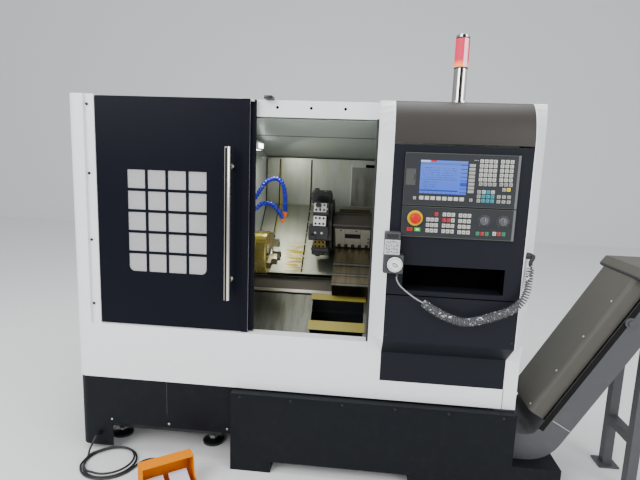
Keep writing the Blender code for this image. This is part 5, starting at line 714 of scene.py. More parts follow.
NODE_FINISHES = {
    # The bed and base casting, seen deep in the pit, take the pit's painted shade
    "pit": "base_casting slant_bed", "base": "base_front_cover coolant_tank",
    "white": "front_panel side_cover_left side_cover_right roof_cover rear_cover top_rail console_housing "
             "electrical_cabinet cabinet_door",
    "door": "door_panel", "glass": "window_glass", "handle": "door_handle", "console": "console_face",
    "hood": "console_hood", "bezel": "display_unit operator_panel", "flap": "access_flap", "estop": "estop_button",
    "start": "start_button", "stop": "stop_button", "knob": "feed_knob speed_knob", "chrome": "tower_pole",
    "lens": "tower_lens", "pendant": "pendant_body", "dial": "pendant_dial", "liner": "splash_liner",
    "chute": "chip_chute", "headstock": "headstock", "chuck": "spindle_chuck",
    "jaw": "chuck_jaw_1 chuck_jaw_2 chuck_jaw_3",
    "stainless": "saddle way_cover_left way_cover_middle way_cover_right", "slide": "cross_slide cross_cover_middle",
    "housing": "turret_housing", "turret": "turret_disc", "lamp_body": "work_lamp",
    "hose": "coolant_hose_upper coolant_hose_lower", "conveyor": "conveyor_casing",
    "conveyor_top": "conveyor_cover conveyor_hood", "cast": "conveyor_gearmotor", "steel": "conveyor_drive_shaft",
    "guard": "foot_guard", "pedal": "pedal_left pedal_right",
}


def make_finish_all(look):
    """Makes the finishes and gives every solid its own."""
    FINISHES.update(make_finishes(look))
    for name, nodes in NODE_FINISHES.items():
        for node in nodes.split():
            materials = bpy.data.objects[node].data.materials
            materials.clear()
            materials.append(FINISHES[name].material)


def area_light(name, place, aim, power, size):
    """A square light at a place that aims at another."""
    light = bpy.data.lights.new(name, "AREA")
    light.energy = power
    light.size = size
    lamp = new_object(name, light)
    lamp.location = at(*place)
    lamp.rotation_euler = (at(*aim) - at(*place)).to_track_quat("-Z", "Y").to_euler()
    return light


def plane(name, place):
    """A wide sheet under a matrix, with the floor's finish."""
    work = bmesh.new()
    bmesh.ops.create_grid(work, x_segments=1, y_segments=1, size=30.0, matrix=place)
    return loose(name, work, "floor")


def make_stage(look):
    """Floor, backdrop, even room light, area lights and the camera."""
    floor = plane("floor", Matrix.Translation((0, 0, -0.001)))
    behind = CAD_BOX[1][1] + 6.0
    upright = Matrix.Rotation(math.radians(90), 4, "X")
    plane("backdrop", Matrix.Translation((0, behind, 0)) @ upright)
    world = bpy.data.worlds.new("soft_room")
    bpy.context.scene.world = world
    world.use_nodes = True
    sky = world.node_tree.nodes["Background"].inputs
    sky["Color"].default_value = (0.9, 0.94, 1.0, 1)
    sky["Strength"].default_value = look.room_light
    area_light("window_light", (-2.6, -3.2, 3.4), (0.2, 0.2, 0.8), look.key_light, 3.0)
    area_light("fill_light", (3.2, -2.8, 2.2), (0.4, 0.0, 0.8), look.fill_light, 2.5)
    area_light("roof_light", (0.2, 0.5, 4.6), (0.2, 0.5, 0.0), look.top_light, 3.5)
    inner = area_light("cutting_zone_light", (-0.15, 0.34, 1.4), (0.12, 0.42, 0.85), look.inner_light, 0.16)
    inner.shape = "RECTANGLE"
    inner.size_y = 0.05
    inner.color = (1.0, 0.97, 0.88)
    camera = bpy.data.cameras.new("photo_camera")
    camera.lens = look.lens
    camera.sensor_width = 36.0
    eye = new_object("photo_camera", camera)
    yaw, pitch, roll = look.yaw, look.pitch, look.roll
    ahead = Vector((-math.sin(yaw) * math.cos(pitch), math.cos(yaw) * math.cos(pitch), -math.sin(pitch)))
    right = Vector((math.cos(yaw), math.sin(yaw), 0))
    up = right.cross(ahead)
    right, up = right * math.cos(roll) + up * math.sin(roll), up * math.cos(roll) - right * math.sin(roll)
    turn = Matrix((right, up, -ahead)).transposed().to_4x4()
    eye.matrix_world = Matrix.Translation(at(*look.camera_place)) @ turn
    bpy.context.scene.camera = eye


def make_enclosure(look):
    """Screws and joints of the sheets, the door switch, the doorway's seal and the side grips."""
    grid("pillar_strip_screws", "black_screw", "white_paint", head(SOCKET, 0.006, 0.0035),
         at(-0.8776, 0.012, 1.563), rows=4, fall=(0, 0, -0.286))
    boxes("apron_joint", "seam", "plastic_dark", [((0.9068, -0.0008, 0.364), (0.9086, 0.001, 0.452))])
    boxes("plinth_joint", "flap", "base_paint", [((-0.5475, 0.0052, 0.208), (-0.546, 0.007, 0.362))])
    # Sunk heads, as the closing door passes 0.3 mm in front of the rail
    sunk = unit("sunk_head", add_turned(bmesh.new(), [(0.0062, -0.001), (0.0062, 0.0001), (0.006, 0.0002)],
                                        along=FRONT, steps=14))
    grid("rail_screws", "seam", "white_paint", sunk, at(-0.0796, 0.05, 1.573), columns=3, step=(0.1393, 0, 0))
    boxes("door_interlock", "black", "plastic_dark",
          [((-0.129, 0.014, 1.6014), (-0.096, 0.074, 1.616)),
           ((-0.124, 0.008, 1.603), (-0.101, 0.016, 1.612))], 0.002)
    foot, top = 0.37, 1.598
    boxes("rear_joints", "seam", "plastic_dark",
          [((x - 0.001, 1.299, foot), (x + 0.001, 1.3006, top)) for x in (-0.64, 0.64)]
          + [((0.9615, 0.685, foot), (0.9631, 0.687, top))])
    fall = (0, 0, -0.285)
    screw = head(DOME, 0.005, 0.0022, (0, 1, 0))
    for label, x in (("left", -0.94), ("middle_left", -0.62), ("middle_right", 0.62), ("right", 0.94)):
        grid(f"rear_screws_{label}", "black_screw", "white_paint", screw, at(x, 1.3, 1.56), rows=5, fall=fall)
    screw = head(DOME, 0.005, 0.0022, RIGHT)
    for label, y in (("front", 0.105), ("middle", 0.706), ("back", 1.27)):
        grid(f"side_screws_{label}", "black_screw", "white_paint", screw, at(0.9625, y, 1.56), rows=5, fall=fall)
    boxes("doorway_seal", "rubber", "cable_black", [((0.328, 0.0045, 0.619), (0.3368, 0.018, 1.534))], 0.002)
    boxes("side_cover_grips", "black", "plastic_dark",
          [((-0.9622, 0.6, 0.92), (-0.9545, 0.74, 0.95)), ((0.9545, 0.6, 0.92), (0.9622, 0.74, 0.95))], 0.003)


def make_door(look):
    """Glazing beads behind the panes, strip, bands and catch at the closing edge, and the handle's cap."""
    low, high = node_box("window_glass")
    y, edge, lap = high.y + 0.0003, 0.014, 0.004
    left, middle, right = (low.x - lap, low.x + edge), (low.x + edge, high.x - edge), (high.x - edge, high.x + lap)
    foot, tall, top = (low.z - lap, low.z + edge), (low.z - lap, high.z + lap), (high.z - edge, high.z + lap)
    boxes("window_beads", "zinc", "stainless",
          [((x[0], y, z[0]), (x[1], y + lap, z[1])) for x, z in
           ((left, tall), (right, tall), (middle, foot), (middle, top))], body="door")
    low, high = node_box("door_panel")
    boxes("door_edge_seal", "steel", "stainless",
          [((high.x - 0.0215, low.y + 0.003, low.z + 0.004), (high.x - 0.0195, low.y + 0.016, high.z - 0.004))],
          0.0004, body="door")
    # Two pale bands down the closing edge are painted highlights on its edges
    boxes("door_edge_bands", "closing_edge_highlight", "door_paint",
          [((high.x - far, high.y - 0.015, low.z + 0.006), (high.x - near, high.y - 0.0137, high.z - 0.006))
           for far, near in ((0.0195, 0.013), (0.0065, 0.001))], 0.0006, 1, "door")
    boxes("door_top_catch", "zinc", "stainless",
          [((high.x - 0.036, 0.012, high.z - 0.01), (high.x - 0.004, 0.026, high.z)),
           ((high.x - 0.046, 0.01, high.z - 0.032), (high.x - 0.022, 0.0178, high.z - 0.012))], 0.001, 1, "door")
    low, high = node_box("door_handle")
    turned("handle_end_caps", "chrome", "steel", [(0.0144, 0.0), (0.0144, 0.004), (0.012, 0.0055)],
           ((low.x + high.x) / 2, low.y + 0.014, high.z - 0.004), body="door")


def make_cutting_zone(look):
    """Chuck screws and jaw serrations, turret, wipers, pit bars, joints and the lamp's lens."""
    y, z = SPINDLE
    face = node_box("spindle_chuck")[1].x
    screw = head(SOCKET, 0.0075, 0.007, UP)
    ring("chuck_screws", "black_screw", "black_oxide", screw, at(face - 0.0005, y, z), 3, 0.062, math.radians(30),
         turn=TO_RIGHT, body="spindle")
    ring("nose_screws", "black_screw", "black_oxide", screw, at(-0.2395, y, z), 8, 0.109, 0.2, turn=TO_RIGHT)
    turned("chuck_bush", "steel", "steel",
           [(0.048, 0.0), (0.048, 0.004), (0.045, 0.006), (0.03, 0.006),
            (0.028, 0.002)], (face - 0.001, y, z), RIGHT, body="spindle")
    for k in range(3):
        angle = math.radians(90 + 120 * k)
        out = Vector((0, -math.cos(angle), math.sin(angle)))
        turn = Matrix((RIGHT, (0, -out.z, out.y), out)).transposed().to_4x4()
        work = bmesh.new()
        for step in range(6):
            place = at(face + 0.0212, y, z) + out * (0.068 + 0.0045 * step)
            block(work, Matrix.Translation(place) @ turn, (0.0012, 0.03, 0.0022))
        piece(f"jaw_{k + 1}_serrations", "steel", "steel", work, f"jaw_{k + 1}")
        work = bmesh.new()
        for reach, front in ((0.079, 0.0213), (0.047, 0.0442)):
            add_turned(work, [(0.0062, -0.001), (0.0062, 0.002), (0.0052, 0.003), (0.0032, 0.003), (0.003, 0.0005)],
                       at(face + front, y, z) + out * reach, RIGHT, 12)
        piece(f"jaw_{k + 1}_bolts", "black_screw", "black_oxide", work, f"jaw_{k + 1}")
    low, high = node_box("work_lamp")
    boxes("lamp_lens", "lamp", "lamp_body",
          [((low.x + 0.012, low.y + 0.012, low.z - 0.0012), (high.x - 0.01, high.y - 0.012, low.z + 0.006)),
           ((high.x - 0.004, low.y + 0.012, low.z + 0.008), (high.x + 0.0012, high.y - 0.012, high.z - 0.01))],
          0.001)
    make_turret()
    make_wipers()
    make_zone_lines()


def make_turret():
    """Screws of the hub and disc, inserts, wedges and plates of the tool blocks, and the clamp plate."""
    y, z = TURRET_AXIS
    left = node_box("turret_disc")[0].x
    cap = head(SOCKET, 0.0058, 0.004, UP)
    for name, radius, count, x in (("hub", 0.052, 6, 0.0542), ("disc", 0.092, 8, 0.0698)):
        ring(f"turret_{name}_screws", "black_screw", "black_oxide", cap, at(x, y, z), count, radius, 0.3,
             turn=TO_LEFT, body="turret")

    def spun(degrees, *place):
        """A place on the disc at x, radius and across, under a turn of the disc."""
        return (Matrix.Translation(at(0, y, z)) @ Matrix.Rotation(math.radians(degrees), 4, "X")
                @ Matrix.Translation(place))

    inserts, wedges, screws, face_screws, plates, oiled, bolts = (bmesh.new() for _ in range(7))
    for k in range(8):
        turn = 12.0 + 45.0 * k
        near, side = (left, 0.012) if k % 2 == 0 else (left + 0.018, -0.012)
        tip = spun(turn, near + 0.017, 0.1635, side + 0.0062) @ Matrix.Rotation(math.radians(20), 4, "Z")
        block(inserts, tip, (0.01, 0.01, 0.004))
        block(wedges, spun(turn, near + 0.045, 0.1535, -side * 0.5), (0.042, 0.01, 0.018))
        for offset in (0.03, 0.06):
            stud(screws, spun(turn, near + offset, 0.158, -side * 0.5), "X", (0.0055, 0.0052), 0.006)
        for across in (-0.022, 0.022):
            stud(face_screws, spun(turn, near - 0.001, 0.13, across), "Y", (0.0058, 0.0058), 0.006)
    # Bright plates on the block and disc flats that face the door
    for work, turn, radius in ((plates, 147.0, 0.159), (plates, 169.5, 0.1465), (oiled, 214.5, 0.1465)):
        block(work, spun(turn, left + 0.048, radius, 0.0), (0.058, 0.004, 0.046))
        for x in (0.074, 0.092, 0.11):
            for across in (-0.013, 0.013):
                stud(bolts, spun(turn, x, radius + 0.0035, across), "X", (0.0052, 0.0048), 0.005)
    for name, paint, slot, work in (
            ("tool_inserts", "gold", "steel", inserts), ("tool_wedges", "steel", "steel", wedges),
            ("tool_block_screws", "zinc", "steel", screws),
            ("block_face_screws", "black_screw", "black_oxide", face_screws),
            ("tool_block_plates", "holder", "steel", plates),
            ("tool_block_plate_oiled", "holder_gold", "steel", oiled),
            ("plate_bolts", "black_screw", "black_oxide", bolts)):
        piece(name, paint, slot, work, "turret")
    # Clamp plate: bright face round the recess, with dark bolts along its lower edge and a black sheet of painted
    # shade in the recess
    u = 0.097
    plate, bolts = bmesh.new(), bmesh.new()
    for x, n in (((0.1625, 0.2075), (0.1225, 0.2625)), ((0.2825, 0.3275), (0.1225, 0.2625)),
                 ((0.2085, 0.2815), (0.228, 0.2625)), ((0.2085, 0.2815), (0.1225, 0.1915))):
        slope_box(plate, x, (u - 0.0012, u + 0.001), n)
    piece("clamp_plate_face", "clamp", "steel", plate, "cross")
    down = Vector((0, -math.cos(SLOPE), -math.sin(SLOPE)))
    for k in range(5):
        add_turned(bolts, [(0.0085, 0.0), (0.0085, 0.007), (0.007, 0.008), (0.0045, 0.008), (0.0042, 0.004)],
                   up_slope(0.18 + 0.0328 * k, u - 0.001, 0.137), down, 12)
    for x, n in ((0.19, 0.254), (0.262, 0.254), (0.32, 0.196), (0.32, 0.17)):
        add_turned(bolts, [(0.0042, 0.0), (0.0042, 0.002), (0.003, 0.003)], up_slope(x, u - 0.001, n), down, 10)
    # A black sheet in the recess behind the plate: painted shade
    slope_box(bolts, (0.209, 0.281), (u + 0.0035, u + 0.005), (0.193, 0.2265))
    piece("clamp_plate_bolts", "black_screw", "black_oxide", bolts, "cross")


def slope_box(work, *spans):
    """A box on the slanted bed, over spans of x, u up the slope and n out of it."""
    c = math.cos(SLOPE)
    centre = up_slope(*((low + high) / 2 for low, high in spans))
    turn = Matrix(((1, 0, 0), (0, c, -c), (0, c, c))).to_4x4()
    return block(work, Matrix.Translation(centre) @ turn, [high - low for low, high in spans])


def make_wipers():
    """Rubber wipers along the covers' edges, their rails with screws, and the pit bars' plates."""
    low, high = node_box("saddle")
    for label, x, width, paint in (("left", low.x, 0.006, "seam"), ("right", high.x - 0.012, 0.012, "ledge")):
        work = bmesh.new()
        slope_box(work, (x, x + width), (0.006, 0.44), (0.0046, 0.0066))
        add_box(work, at(x, 0.7078, 1.118), at(x + width, 0.7105, 1.372))
        piece(f"saddle_wiper_{label}", paint, "stainless", work, "saddle")
    screw = head(DOME, 0.0042, 0.0022, (0, -math.sin(SLOPE), math.cos(SLOPE)))
    for label, x in (("left", low.x + 0.006), ("right", high.x - 0.006)):
        grid(f"saddle_wiper_screws_{label}", "zinc", "stainless", screw, up_slope(x, 0.03, 0.0072), rows=6,
             fall=(0, 0.053, 0.053), body="saddle")
    # The lowest front corner of each folded sheet: u up the slope and the top out of it
    for label, node, body, u, top, reach in (
            ("lower", "saddle", "saddle", -0.114, 0.1078, 0.0022),
            ("slide", "cross_slide", "cross", -0.008, 0.118, 0.0012),
            ("middle", "cross_cover_middle", "cross_cover", -0.064, 0.112, 0.0012)):
        low, high = node_box(node)
        x = (max(low.x, 0.158), min(high.x, 0.332))
        # The paler steel on each sheet's folded corner is a painted highlight; the black strip behind it is its rubber
        # wiper
        light, dark = bmesh.new(), bmesh.new()
        slope_box(light, x, (u - reach, u + 0.001), (top - 0.011, top - 0.0012))
        slope_box(light, x, (u + 0.0005, u + 0.0065), (top - 0.0012, top + 0.001))
        slope_box(dark, x, (u + 0.0065, u + 0.0115), (top - 0.0012, top + 0.0016))
        piece(f"{label}_cover_edges", "chute", "stainless", light, body)
        piece(f"{label}_cover_wiper", "black", "cable_black", dark, body)
    bars = bmesh.new()
    for u in (-0.078, -0.24):
        slope_box(bars, (0.056, 0.3235), (u - 0.0475, u + 0.001), (-0.0259, -0.024))
    piece("pit_bar_plates", "bars", "liner_grey", bars)


def make_zone_lines():
    """Joints of the way covers, the roof's fold, the band and ledge under the chuck, and the apron's skin."""
    seam, bars, band, ledge, skin = (bmesh.new() for _ in range(5))
    cover, wall, low, high = 0.7128, (0.708, 0.709), 1.118, 1.372
    for work, x, width in ((seam, -0.259, 0.004), (seam, -0.186, 0.0055), (bars, -0.18, 0.007)):
        add_box(work, at(x, cover - 0.0008, low), at(x + width, cover + 0.0006, high))
        slope_box(work, (x, x + width), (0.01, 0.452), (0.0042, 0.0056))
    # A black line along the roof's fold is painted shade in the crease
    add_box(seam, at(-0.255, 0.344, 1.4745), at(0.89, 0.35, 1.4765))
    add_box(seam, at(0.29, wall[0], 1.34), at(0.88, wall[1], 1.356))
    add_box(ledge, at(0.21, wall[0], 1.13), at(0.216, wall[1], 1.356))
    slope_box(ledge, (-0.255, -0.006), (0.449, 0.452), (0.0042, 0.0058))
    # A dark band of painted shade in the channel under the chuck
    slope_box(band, (-0.258, 0.6), (-0.074, -0.014), (-0.0296, -0.027))
    slope_box(ledge, (-0.258, 0.6), (-0.094, -0.0765), (-0.0296, -0.023))
    slope_box(seam, (-0.258, 0.054), (-0.099, -0.0945), (-0.0296, -0.028))
    boxes("back_wall_plate", "chute", "stainless", [((0.2166, 0.7082, 1.13), (0.88, 0.709, 1.3395))])
    piece("cutting_zone_joints", "seam", "cable_black", seam)
    piece("way_cover_rust_edge", "bars", "stainless", bars)
    piece("chute_band", "dark_band", "liner_grey", band)
    piece("chute_ledge", "ledge", "stainless", ledge)
    slope_box(skin, (0.1585, 0.3315), (-0.1135, -0.001), (0.1076, 0.1086))
    slope_box(skin, (0.1585, 0.3315), (-0.1148, -0.1138), (0.006, 0.107))
    piece("apron_skin", "slide", "stainless", skin, "saddle")


def marked_keys(foot, name, paint, columns, rows, start, pitch, size, mark=True, proud=0.0022):
    """A field of keys above a unit's foot, with a dark stroke on each that stands for its sign."""
    w, h = size
    steps = {"columns": columns, "rows": rows, "step": (pitch[0], 0, 0), "fall": (0, 0, -pitch[1])}
    place = at(UNIT_LEFT + start[0], UNIT_FRONT, foot + start[1])
    cap = unit("key_cap", add_box(bmesh.new(), (-w / 2, -proud, -h / 2), (w / 2, proud / 2, h / 2), 0.0012))
    grid(name, paint, "white_paint", cap, place, **steps)
    if mark:
        work = add_box(bmesh.new(), (-w * 0.2, -0.0003, -h * 0.22), (-w * 0.06, 0.0004, h * 0.24))
        add_box(work, (-w * 0.06, -0.0003, -h * 0.02), (w * 0.16, 0.0004, h * 0.08))
        grid(name + "_signs", "key_mark", "plastic_dark", unit("key_sign", work), place - Vector((0, proud, 0)),
             **steps)


def make_display(look):
    """Screen, bezel lines, function keys beside and under the screen, and the key blocks."""
    y = UNIT_FRONT
    boxes("screen", "screen", "plastic_dark",
          [((SCREEN_LEFT, y + 0.0008, SCREEN_FOOT), (SCREEN_RIGHT, y + 0.002, SCREEN_TOP))])
    rim, corners, bright = 0.003, [], []
    for low, high in ((DISPLAY_LOW, DISPLAY_HIGH), (OPERATOR_LOW, OPERATOR_HIGH)):
        edge = high.x - rim * 3
        corners += [((low.x, y - 0.0012, high.z - rim), (edge, y + 0.002, high.z)),
                    ((low.x, y - 0.0012, low.z), (edge, y + 0.002, low.z + rim)),
                    ((low.x, y - 0.0012, low.z + rim), (low.x + rim * 0.6, y + 0.002, high.z - rim))]
        # A paler strip down each unit's right edge: a painted highlight
        bright.append(((edge, y - 0.0014, low.z), (high.x, y + 0.002, high.z)))
    boxes("control_rims", "flap", "plastic_dark", corners, 0.0006, 1)
    boxes("control_bright_edge", "rim", "plastic_dark", bright, 0.0006, 1)
    foot = DISPLAY_LOW.z
    boxes("control_joint", "seam", "plastic_dark",
          [((DISPLAY_LOW.x, y - 0.002, foot - 0.0015), (DISPLAY_HIGH.x, y + 0.002, foot + 0.001))])
    key = (look.key_size, look.key_size)
    wide, close, tall = (0.0165, 0.0168), (0.0165, 0.0166), (0.017, 0.0168)
    for row in (("letter_keys", "key", 4, 5, (0.2805, 0.1735), wide, key),
                ("number_keys", "key", 3, 5, (0.355, 0.1745), tall, key),
                ("letter_keys_low", "key_dim", 4, 1, (0.2825, 0.0895), wide, key),
                ("number_keys_low", "key_dim", 3, 1, (0.357, 0.0905), tall, key),
                ("edit_keys", "key_dim", 1, 3, (0.279, 0.0605), close, key),
                ("cursor_keys", "key_cyan", 3, 3, (0.296, 0.061), close, key),
                ("cursor_corner_keys", "key", 1, 1, (0.296, 0.061), close, key, True, 0.0026),
                ("cursor_end_key", "key", 1, 1, (0.329, 0.061), close, key, True, 0.0026),
                ("input_key", "key_yellow", 1, 1, (0.385, 0.0725), close, key),
                ("alarm_key", "key_dim", 1, 1, (0.3685, 0.072), close, key),
                ("mode_keys", "key_dim", 3, 2, (0.352, 0.045), (0.0185, 0.018), (key[0], key[0] * 0.95)),
                ("soft_keys_row", "key", 8, 1, (0.068, 0.03), (0.0214, 0.0166), (0.0165, 0.014), False),
                ("soft_key_ends", "key_dim", 2, 1, (0.043, 0.0285), (0.2085, 0.0166), (0.0115, 0.0115)),
                ("soft_keys_column", "key_dim", 1, 8, (0.248, 0.1565), (0.0125, 0.0138), (0.0225, 0.0112), False)):
        marked_keys(foot, *row)
    led = unit("status_led", add_box(bmesh.new(), (-0.001, -0.0006, -0.001), (0.001, 0.0006, 0.001)))
    grid("status_leds", "white_mark", "dial_white", led, at(UNIT_LEFT + 0.255, y, foot + 0.176), columns=3,
         step=(0.006, 0, 0))
    low, high = node_box("access_flap")
    z = (low.z + high.z) / 2
    boxes("flap_grip", "plastic", "plastic_dark",
          [((high.x - 0.006, low.y - 0.0014, z - 0.01),
            (high.x - 0.003, low.y + 0.001, z + 0.01))], 0.0004, 1, "flap")


def make_operator_panel(look):
    """The mode keys, the coloured keys, the override scales and the emergency stop's yellow ring."""
    size = (look.key_size, look.key_size * 1.08)
    left, middle, stop, pair = (0.0157, 0.021), (0.0162, 0.0212), (0.0162, 0.021), (0.034, 0.021)
    for row in (("group_keys_left", "key", 3, 3, (0.099, 0.069), left, size),
                ("reset_key", "key_red", 1, 1, (0.129, 0.0905), left, size),
                ("group_keys_middle", "key", 3, 4, (0.159, 0.0905), middle, size),
                ("group_keys_right", "key", 3, 4, (0.2185, 0.0895), middle, size),
                ("spindle_stop_keys", "key_red", 2, 1, (0.159, 0.0693), stop, size, True, 0.0027),
                ("feed_keys_green", "key_green", 2, 1, (0.2865, 0.024), pair, size),
                ("feed_key_red", "key_red", 1, 1, (0.3035, 0.024), pair, size),
                ("spindle_key_white", "key", 1, 1, (0.348, 0.026), pair, size),
                ("spindle_key_red", "key_red", 1, 1, (0.3645, 0.026), pair, size),
                ("spindle_key_green", "key_green", 1, 1, (0.3815, 0.026), pair, size)):
        marked_keys(OPERATOR_LOW.z, *row)
    low, high = node_box("estop_button")
    turned("estop_ring", "estop_ring", "guard_orange",
           [(0.029, -0.001), (0.029, 0.003), (0.0275, 0.0046), (0.0215, 0.0046), (0.0205, 0.0041)],
           ((low.x + high.x) / 2, UNIT_FRONT, (low.z + high.z) / 2), FRONT, 40)
    tick = unit("scale_tick", add_box(bmesh.new(), (0.0205, -0.0006, 0), (0.0235, 0.0006, 0.0008)))
    for body in ("feed", "speed"):
        low, high = node_box(f"{body}_knob")
        x, z = (low.x + high.x) / 2, (low.z + high.z) / 2
        turned(f"{body}_knob_skirt", "black", "plastic_dark", [(0.0195, -0.001), (0.0195, 0.0006), (0.0185, 0.001)],
               (x, UNIT_FRONT, z), FRONT)
        ring(f"{body}_knob_scale", "key_dim", "dial_white", tick, at(x, UNIT_FRONT, z), 15,
             first=math.radians(-50), step=math.radians(20), turn=TO_FRONT)
        boxes(f"{body}_knob_pointer", "key", "dial_white",
              [((x - 0.0006, low.y - 0.0003, z + 0.001), (x + 0.0006, low.y + 0.001, z + 0.0105))], body=body)
    for body, paint in (("start", "white_mark"), ("stop", "key_mark")):
        low, high = node_box(f"{body}_button")
        boxes(f"{body}_button_sign", paint, "dial_white",
              [((low.x + 0.007, low.y - 0.0003, low.z + 0.004),
                (high.x - 0.007, low.y + 0.0005, high.z - 0.004))], body=body)
    grid("control_corner_screws", "black_screw", "black_oxide", head(DOME, 0.0026, 0.0012),
         at(UNIT_LEFT + 0.006, UNIT_FRONT, OPERATOR_HIGH.z - 0.007), 2, 2, (0.408, 0, 0), (0, 0, -0.104))


def make_column(look):
    """The smooth hood, the dark joint across the column's face, the shelf's black lining and the screws."""
    make_hood()
    face_low, face_high = node_box("console_face")
    y = face_low.y
    boxes("face_joint", "seam", "plastic_dark",
          [((face_low.x + 0.001, y - 0.0006, 0.8515), (face_high.x - 0.001, y + 0.001, 0.855))])
    left, right, low, high = 0.4555, 0.8435, 0.872, 0.977
    front, back, over, under = y + 0.003, y + 0.096, 0.0008, 0.0006
    # Black sheets inside the shelf's recess: painted shade
    boxes("shelf_lining", "seam", "plastic_dark",
          [((left, back, low), (right, back + 0.0015, high)),
           ((left, front, high - over), (right, back, high + under)),
           ((left, front, low - under), (right, back, low + over)),
           ((left - under, front, low), (left + over, back, high)),
           ((right - over, front, low), (right + under, back, high))])
    grid("column_screws", "black_screw", "black_oxide", head(DOME, 0.004, 0.002), at(0.406, -0.088, 0.835), 2, 2,
         (0.488, 0, 0), (0, 0, -0.15))


def make_hood():
    """The column's hood as a smooth quarter ellipse with its turned-in lower edge."""
    low, high = node_box("console_hood")
    bottom, proud, skin, steps, end = 1.442, 0.088, 0.003, 28, math.radians(83)
    rise = 1.605 - bottom
    outer, inner = [], []
    for k in range(steps + 1):
        c, s = math.cos(end * k / steps), math.sin(end * k / steps)
        way = Vector((c / proud, -s / rise)).normalized() * skin
        outer.append((-proud * c, bottom + rise * s))
        inner.append((-proud * c + way.x, bottom + rise * s + way.y))
    outer[-1] = (outer[-1][0], high.z)
    lip = [(-proud + skin, bottom + skin), (-proud + skin * 2, bottom + skin), (-proud + skin * 2, bottom)]
    work = skinned(bmesh.new(), [[at(x, y, z) for y, z in outer + inner[:0:-1] + lip] for x in (low.x, high.x)])
    bmesh.ops.recalc_face_normals(work, faces=work.faces)
    made = piece("console_hood_skin", "hood", "hood_paint", work)
    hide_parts("console_hood")


def make_tower(look):
    """Flutes of the lens, its chrome cap and its black seals."""
    low, high = node_box("tower_lens")
    x, y = (low.x + high.x) / 2, (low.y + high.y) / 2
    rib = unit("lens_rib", add_box(bmesh.new(), (0.0255, -0.0009, 0), (0.0268, 0.0009, 0.098)))
    ring("lens_ribs", "lens", "red_plastic", rib, at(x, y, low.z + 0.006), 24)
    step = low.z + 0.11
    rise = high.z - step
    turned("lens_cap", "chrome", "steel",
           [(0.025, 0.0), (0.0264, 0.0004), (0.0264, rise - 0.004),
            (0.0212, rise - 0.0002)], (x, y, step), steps=40)
    for name, z in (("lower", low.z - 0.004), ("upper", step - 0.004)):
        turned(f"lens_seal_{name}", "rubber", "cable_black",
               [(0.0262, 0.0), (0.0266, 0.001), (0.0266, 0.003), (0.0262, 0.004)], (x, y, z))


# Strokes on the pendant's plate in mm: left, foot, width and height
PENDANT_STROKES = (
    (7, 46, 12, 2), (22, 44, 2, 7), (28, 48, 10, 3), (42, 45, 3, 6), (48, 42, 5, 2), (6, 34, 5, 3), (14, 31, 8, 2),
    (26, 34, 3, 5), (33, 30, 9, 2), (46, 33, 6, 4), (8, 20, 3, 7), (14, 18, 9, 3), (27, 22, 6, 2), (36, 17, 3, 8),
    (43, 20, 8, 3), (9, 8, 12, 3), (25, 10, 4, 4), (33, 7, 10, 2), (47, 8, 5, 5))
DIAL_MARKS = ((-0.008, 0.004), (-0.002, 0.006), (0.005, 0.002), (-0.005, -0.003), (0.002, -0.007), (0.009, -0.004))


def make_pendant(look):
    """The hand pendant's plate, signs, dial scale and hook, its lead and the curly cord in its sleeve."""
    body_low, body_high = node_box("pendant_body")
    left, front, top = body_low.x, body_low.y, body_high.z
    right, low, high = left + 0.0605, top - 0.086, top - 0.03
    boxes("pendant_plate", "silver", "stainless",
          [((left + 0.001, front - 0.0012, low), (right - 0.001, front + 0.004, high))], 0.001, 1)
    boxes("pendant_plate_signs", "plastic", "plastic_dark",
          [((left + a / 1000, front - 0.0016, low + b / 1000), (left + (a + w) / 1000, front, low + (b + h) / 1000))
           for a, b, w, h in PENDANT_STROKES])
    boxes("pendant_hook", "black", "plastic_dark",
          [((left + 0.01, front + 0.0005, top - 0.024), (right - 0.01, front + 0.006, top - 0.006))], 0.001, 1)
    low, high = node_box("pendant_dial")
    x, z = (low.x + high.x) / 2, (low.z + high.z) / 2
    tick = unit("dial_tick", add_box(bmesh.new(), (0.0225, -0.0004, 0), (0.026, 0.0004, 0.0005)))
    ring("dial_ticks", "key_mark", "plastic_dark", tick, at(x, front - 0.01, z), 50, turn=TO_FRONT, body="dial")
    boxes("dial_centre_marks", "plastic", "plastic_dark",
          [((x + a - 0.0032, front - 0.0106, z + b - 0.0014), (x + a + 0.0032, front - 0.0098, z + b + 0.0014))
           for a, b in DIAL_MARKS], body="dial")
    turned("dial_collar", "black", "plastic_dark", [(0.0325, -0.002), (0.0325, 0.0008), (0.0305, 0.0014)],
           (x, front, z), FRONT)
    make_pendant_cord()
    # Black boot over the gland and its elbow
    out, root, foot = Vector((0.7915, -0.6111, 0.0)), at(0.9231, -0.071, 1.034), at(0.932, -0.093, 1.0012)
    route = smooth_route([root + out * 0.001, root + out * 0.0235, foot + Vector((0, 0, 0.013)), foot], 0.004)
    boot = add_swept(bmesh.new(), route, [0.0074] * len(route), 14)
    add_turned(boot, [(0.0124, -0.0008), (0.0124, 0.01), (0.0105, 0.018), (0.0074, 0.019)], root, out, 20)
    piece("gland_boot", "rubber", "cable_black", boot, angle=50.0)


LEAD_POINTS = ((0.433, -0.1113, 0.9325), (0.433, -0.1125, 0.922), (0.444, -0.123, 0.903), (0.462, -0.124, 0.886),
               (0.487, -0.124, 0.867), (0.515, -0.124, 0.849), (0.54, -0.124, 0.8363))
SLEEVE_POINTS = ((0.5405, -0.124, 0.836), (0.586, -0.124, 0.808), (0.645, -0.124, 0.782), (0.703, -0.125, 0.771),
                 (0.757, -0.125, 0.783), (0.82, -0.126, 0.806), (0.872, -0.126, 0.832), (0.903, -0.124, 0.862),
                 (0.922, -0.112, 0.9), (0.93, -0.099, 0.94), (0.932, -0.093, 0.972), (0.932, -0.093, 1.0))


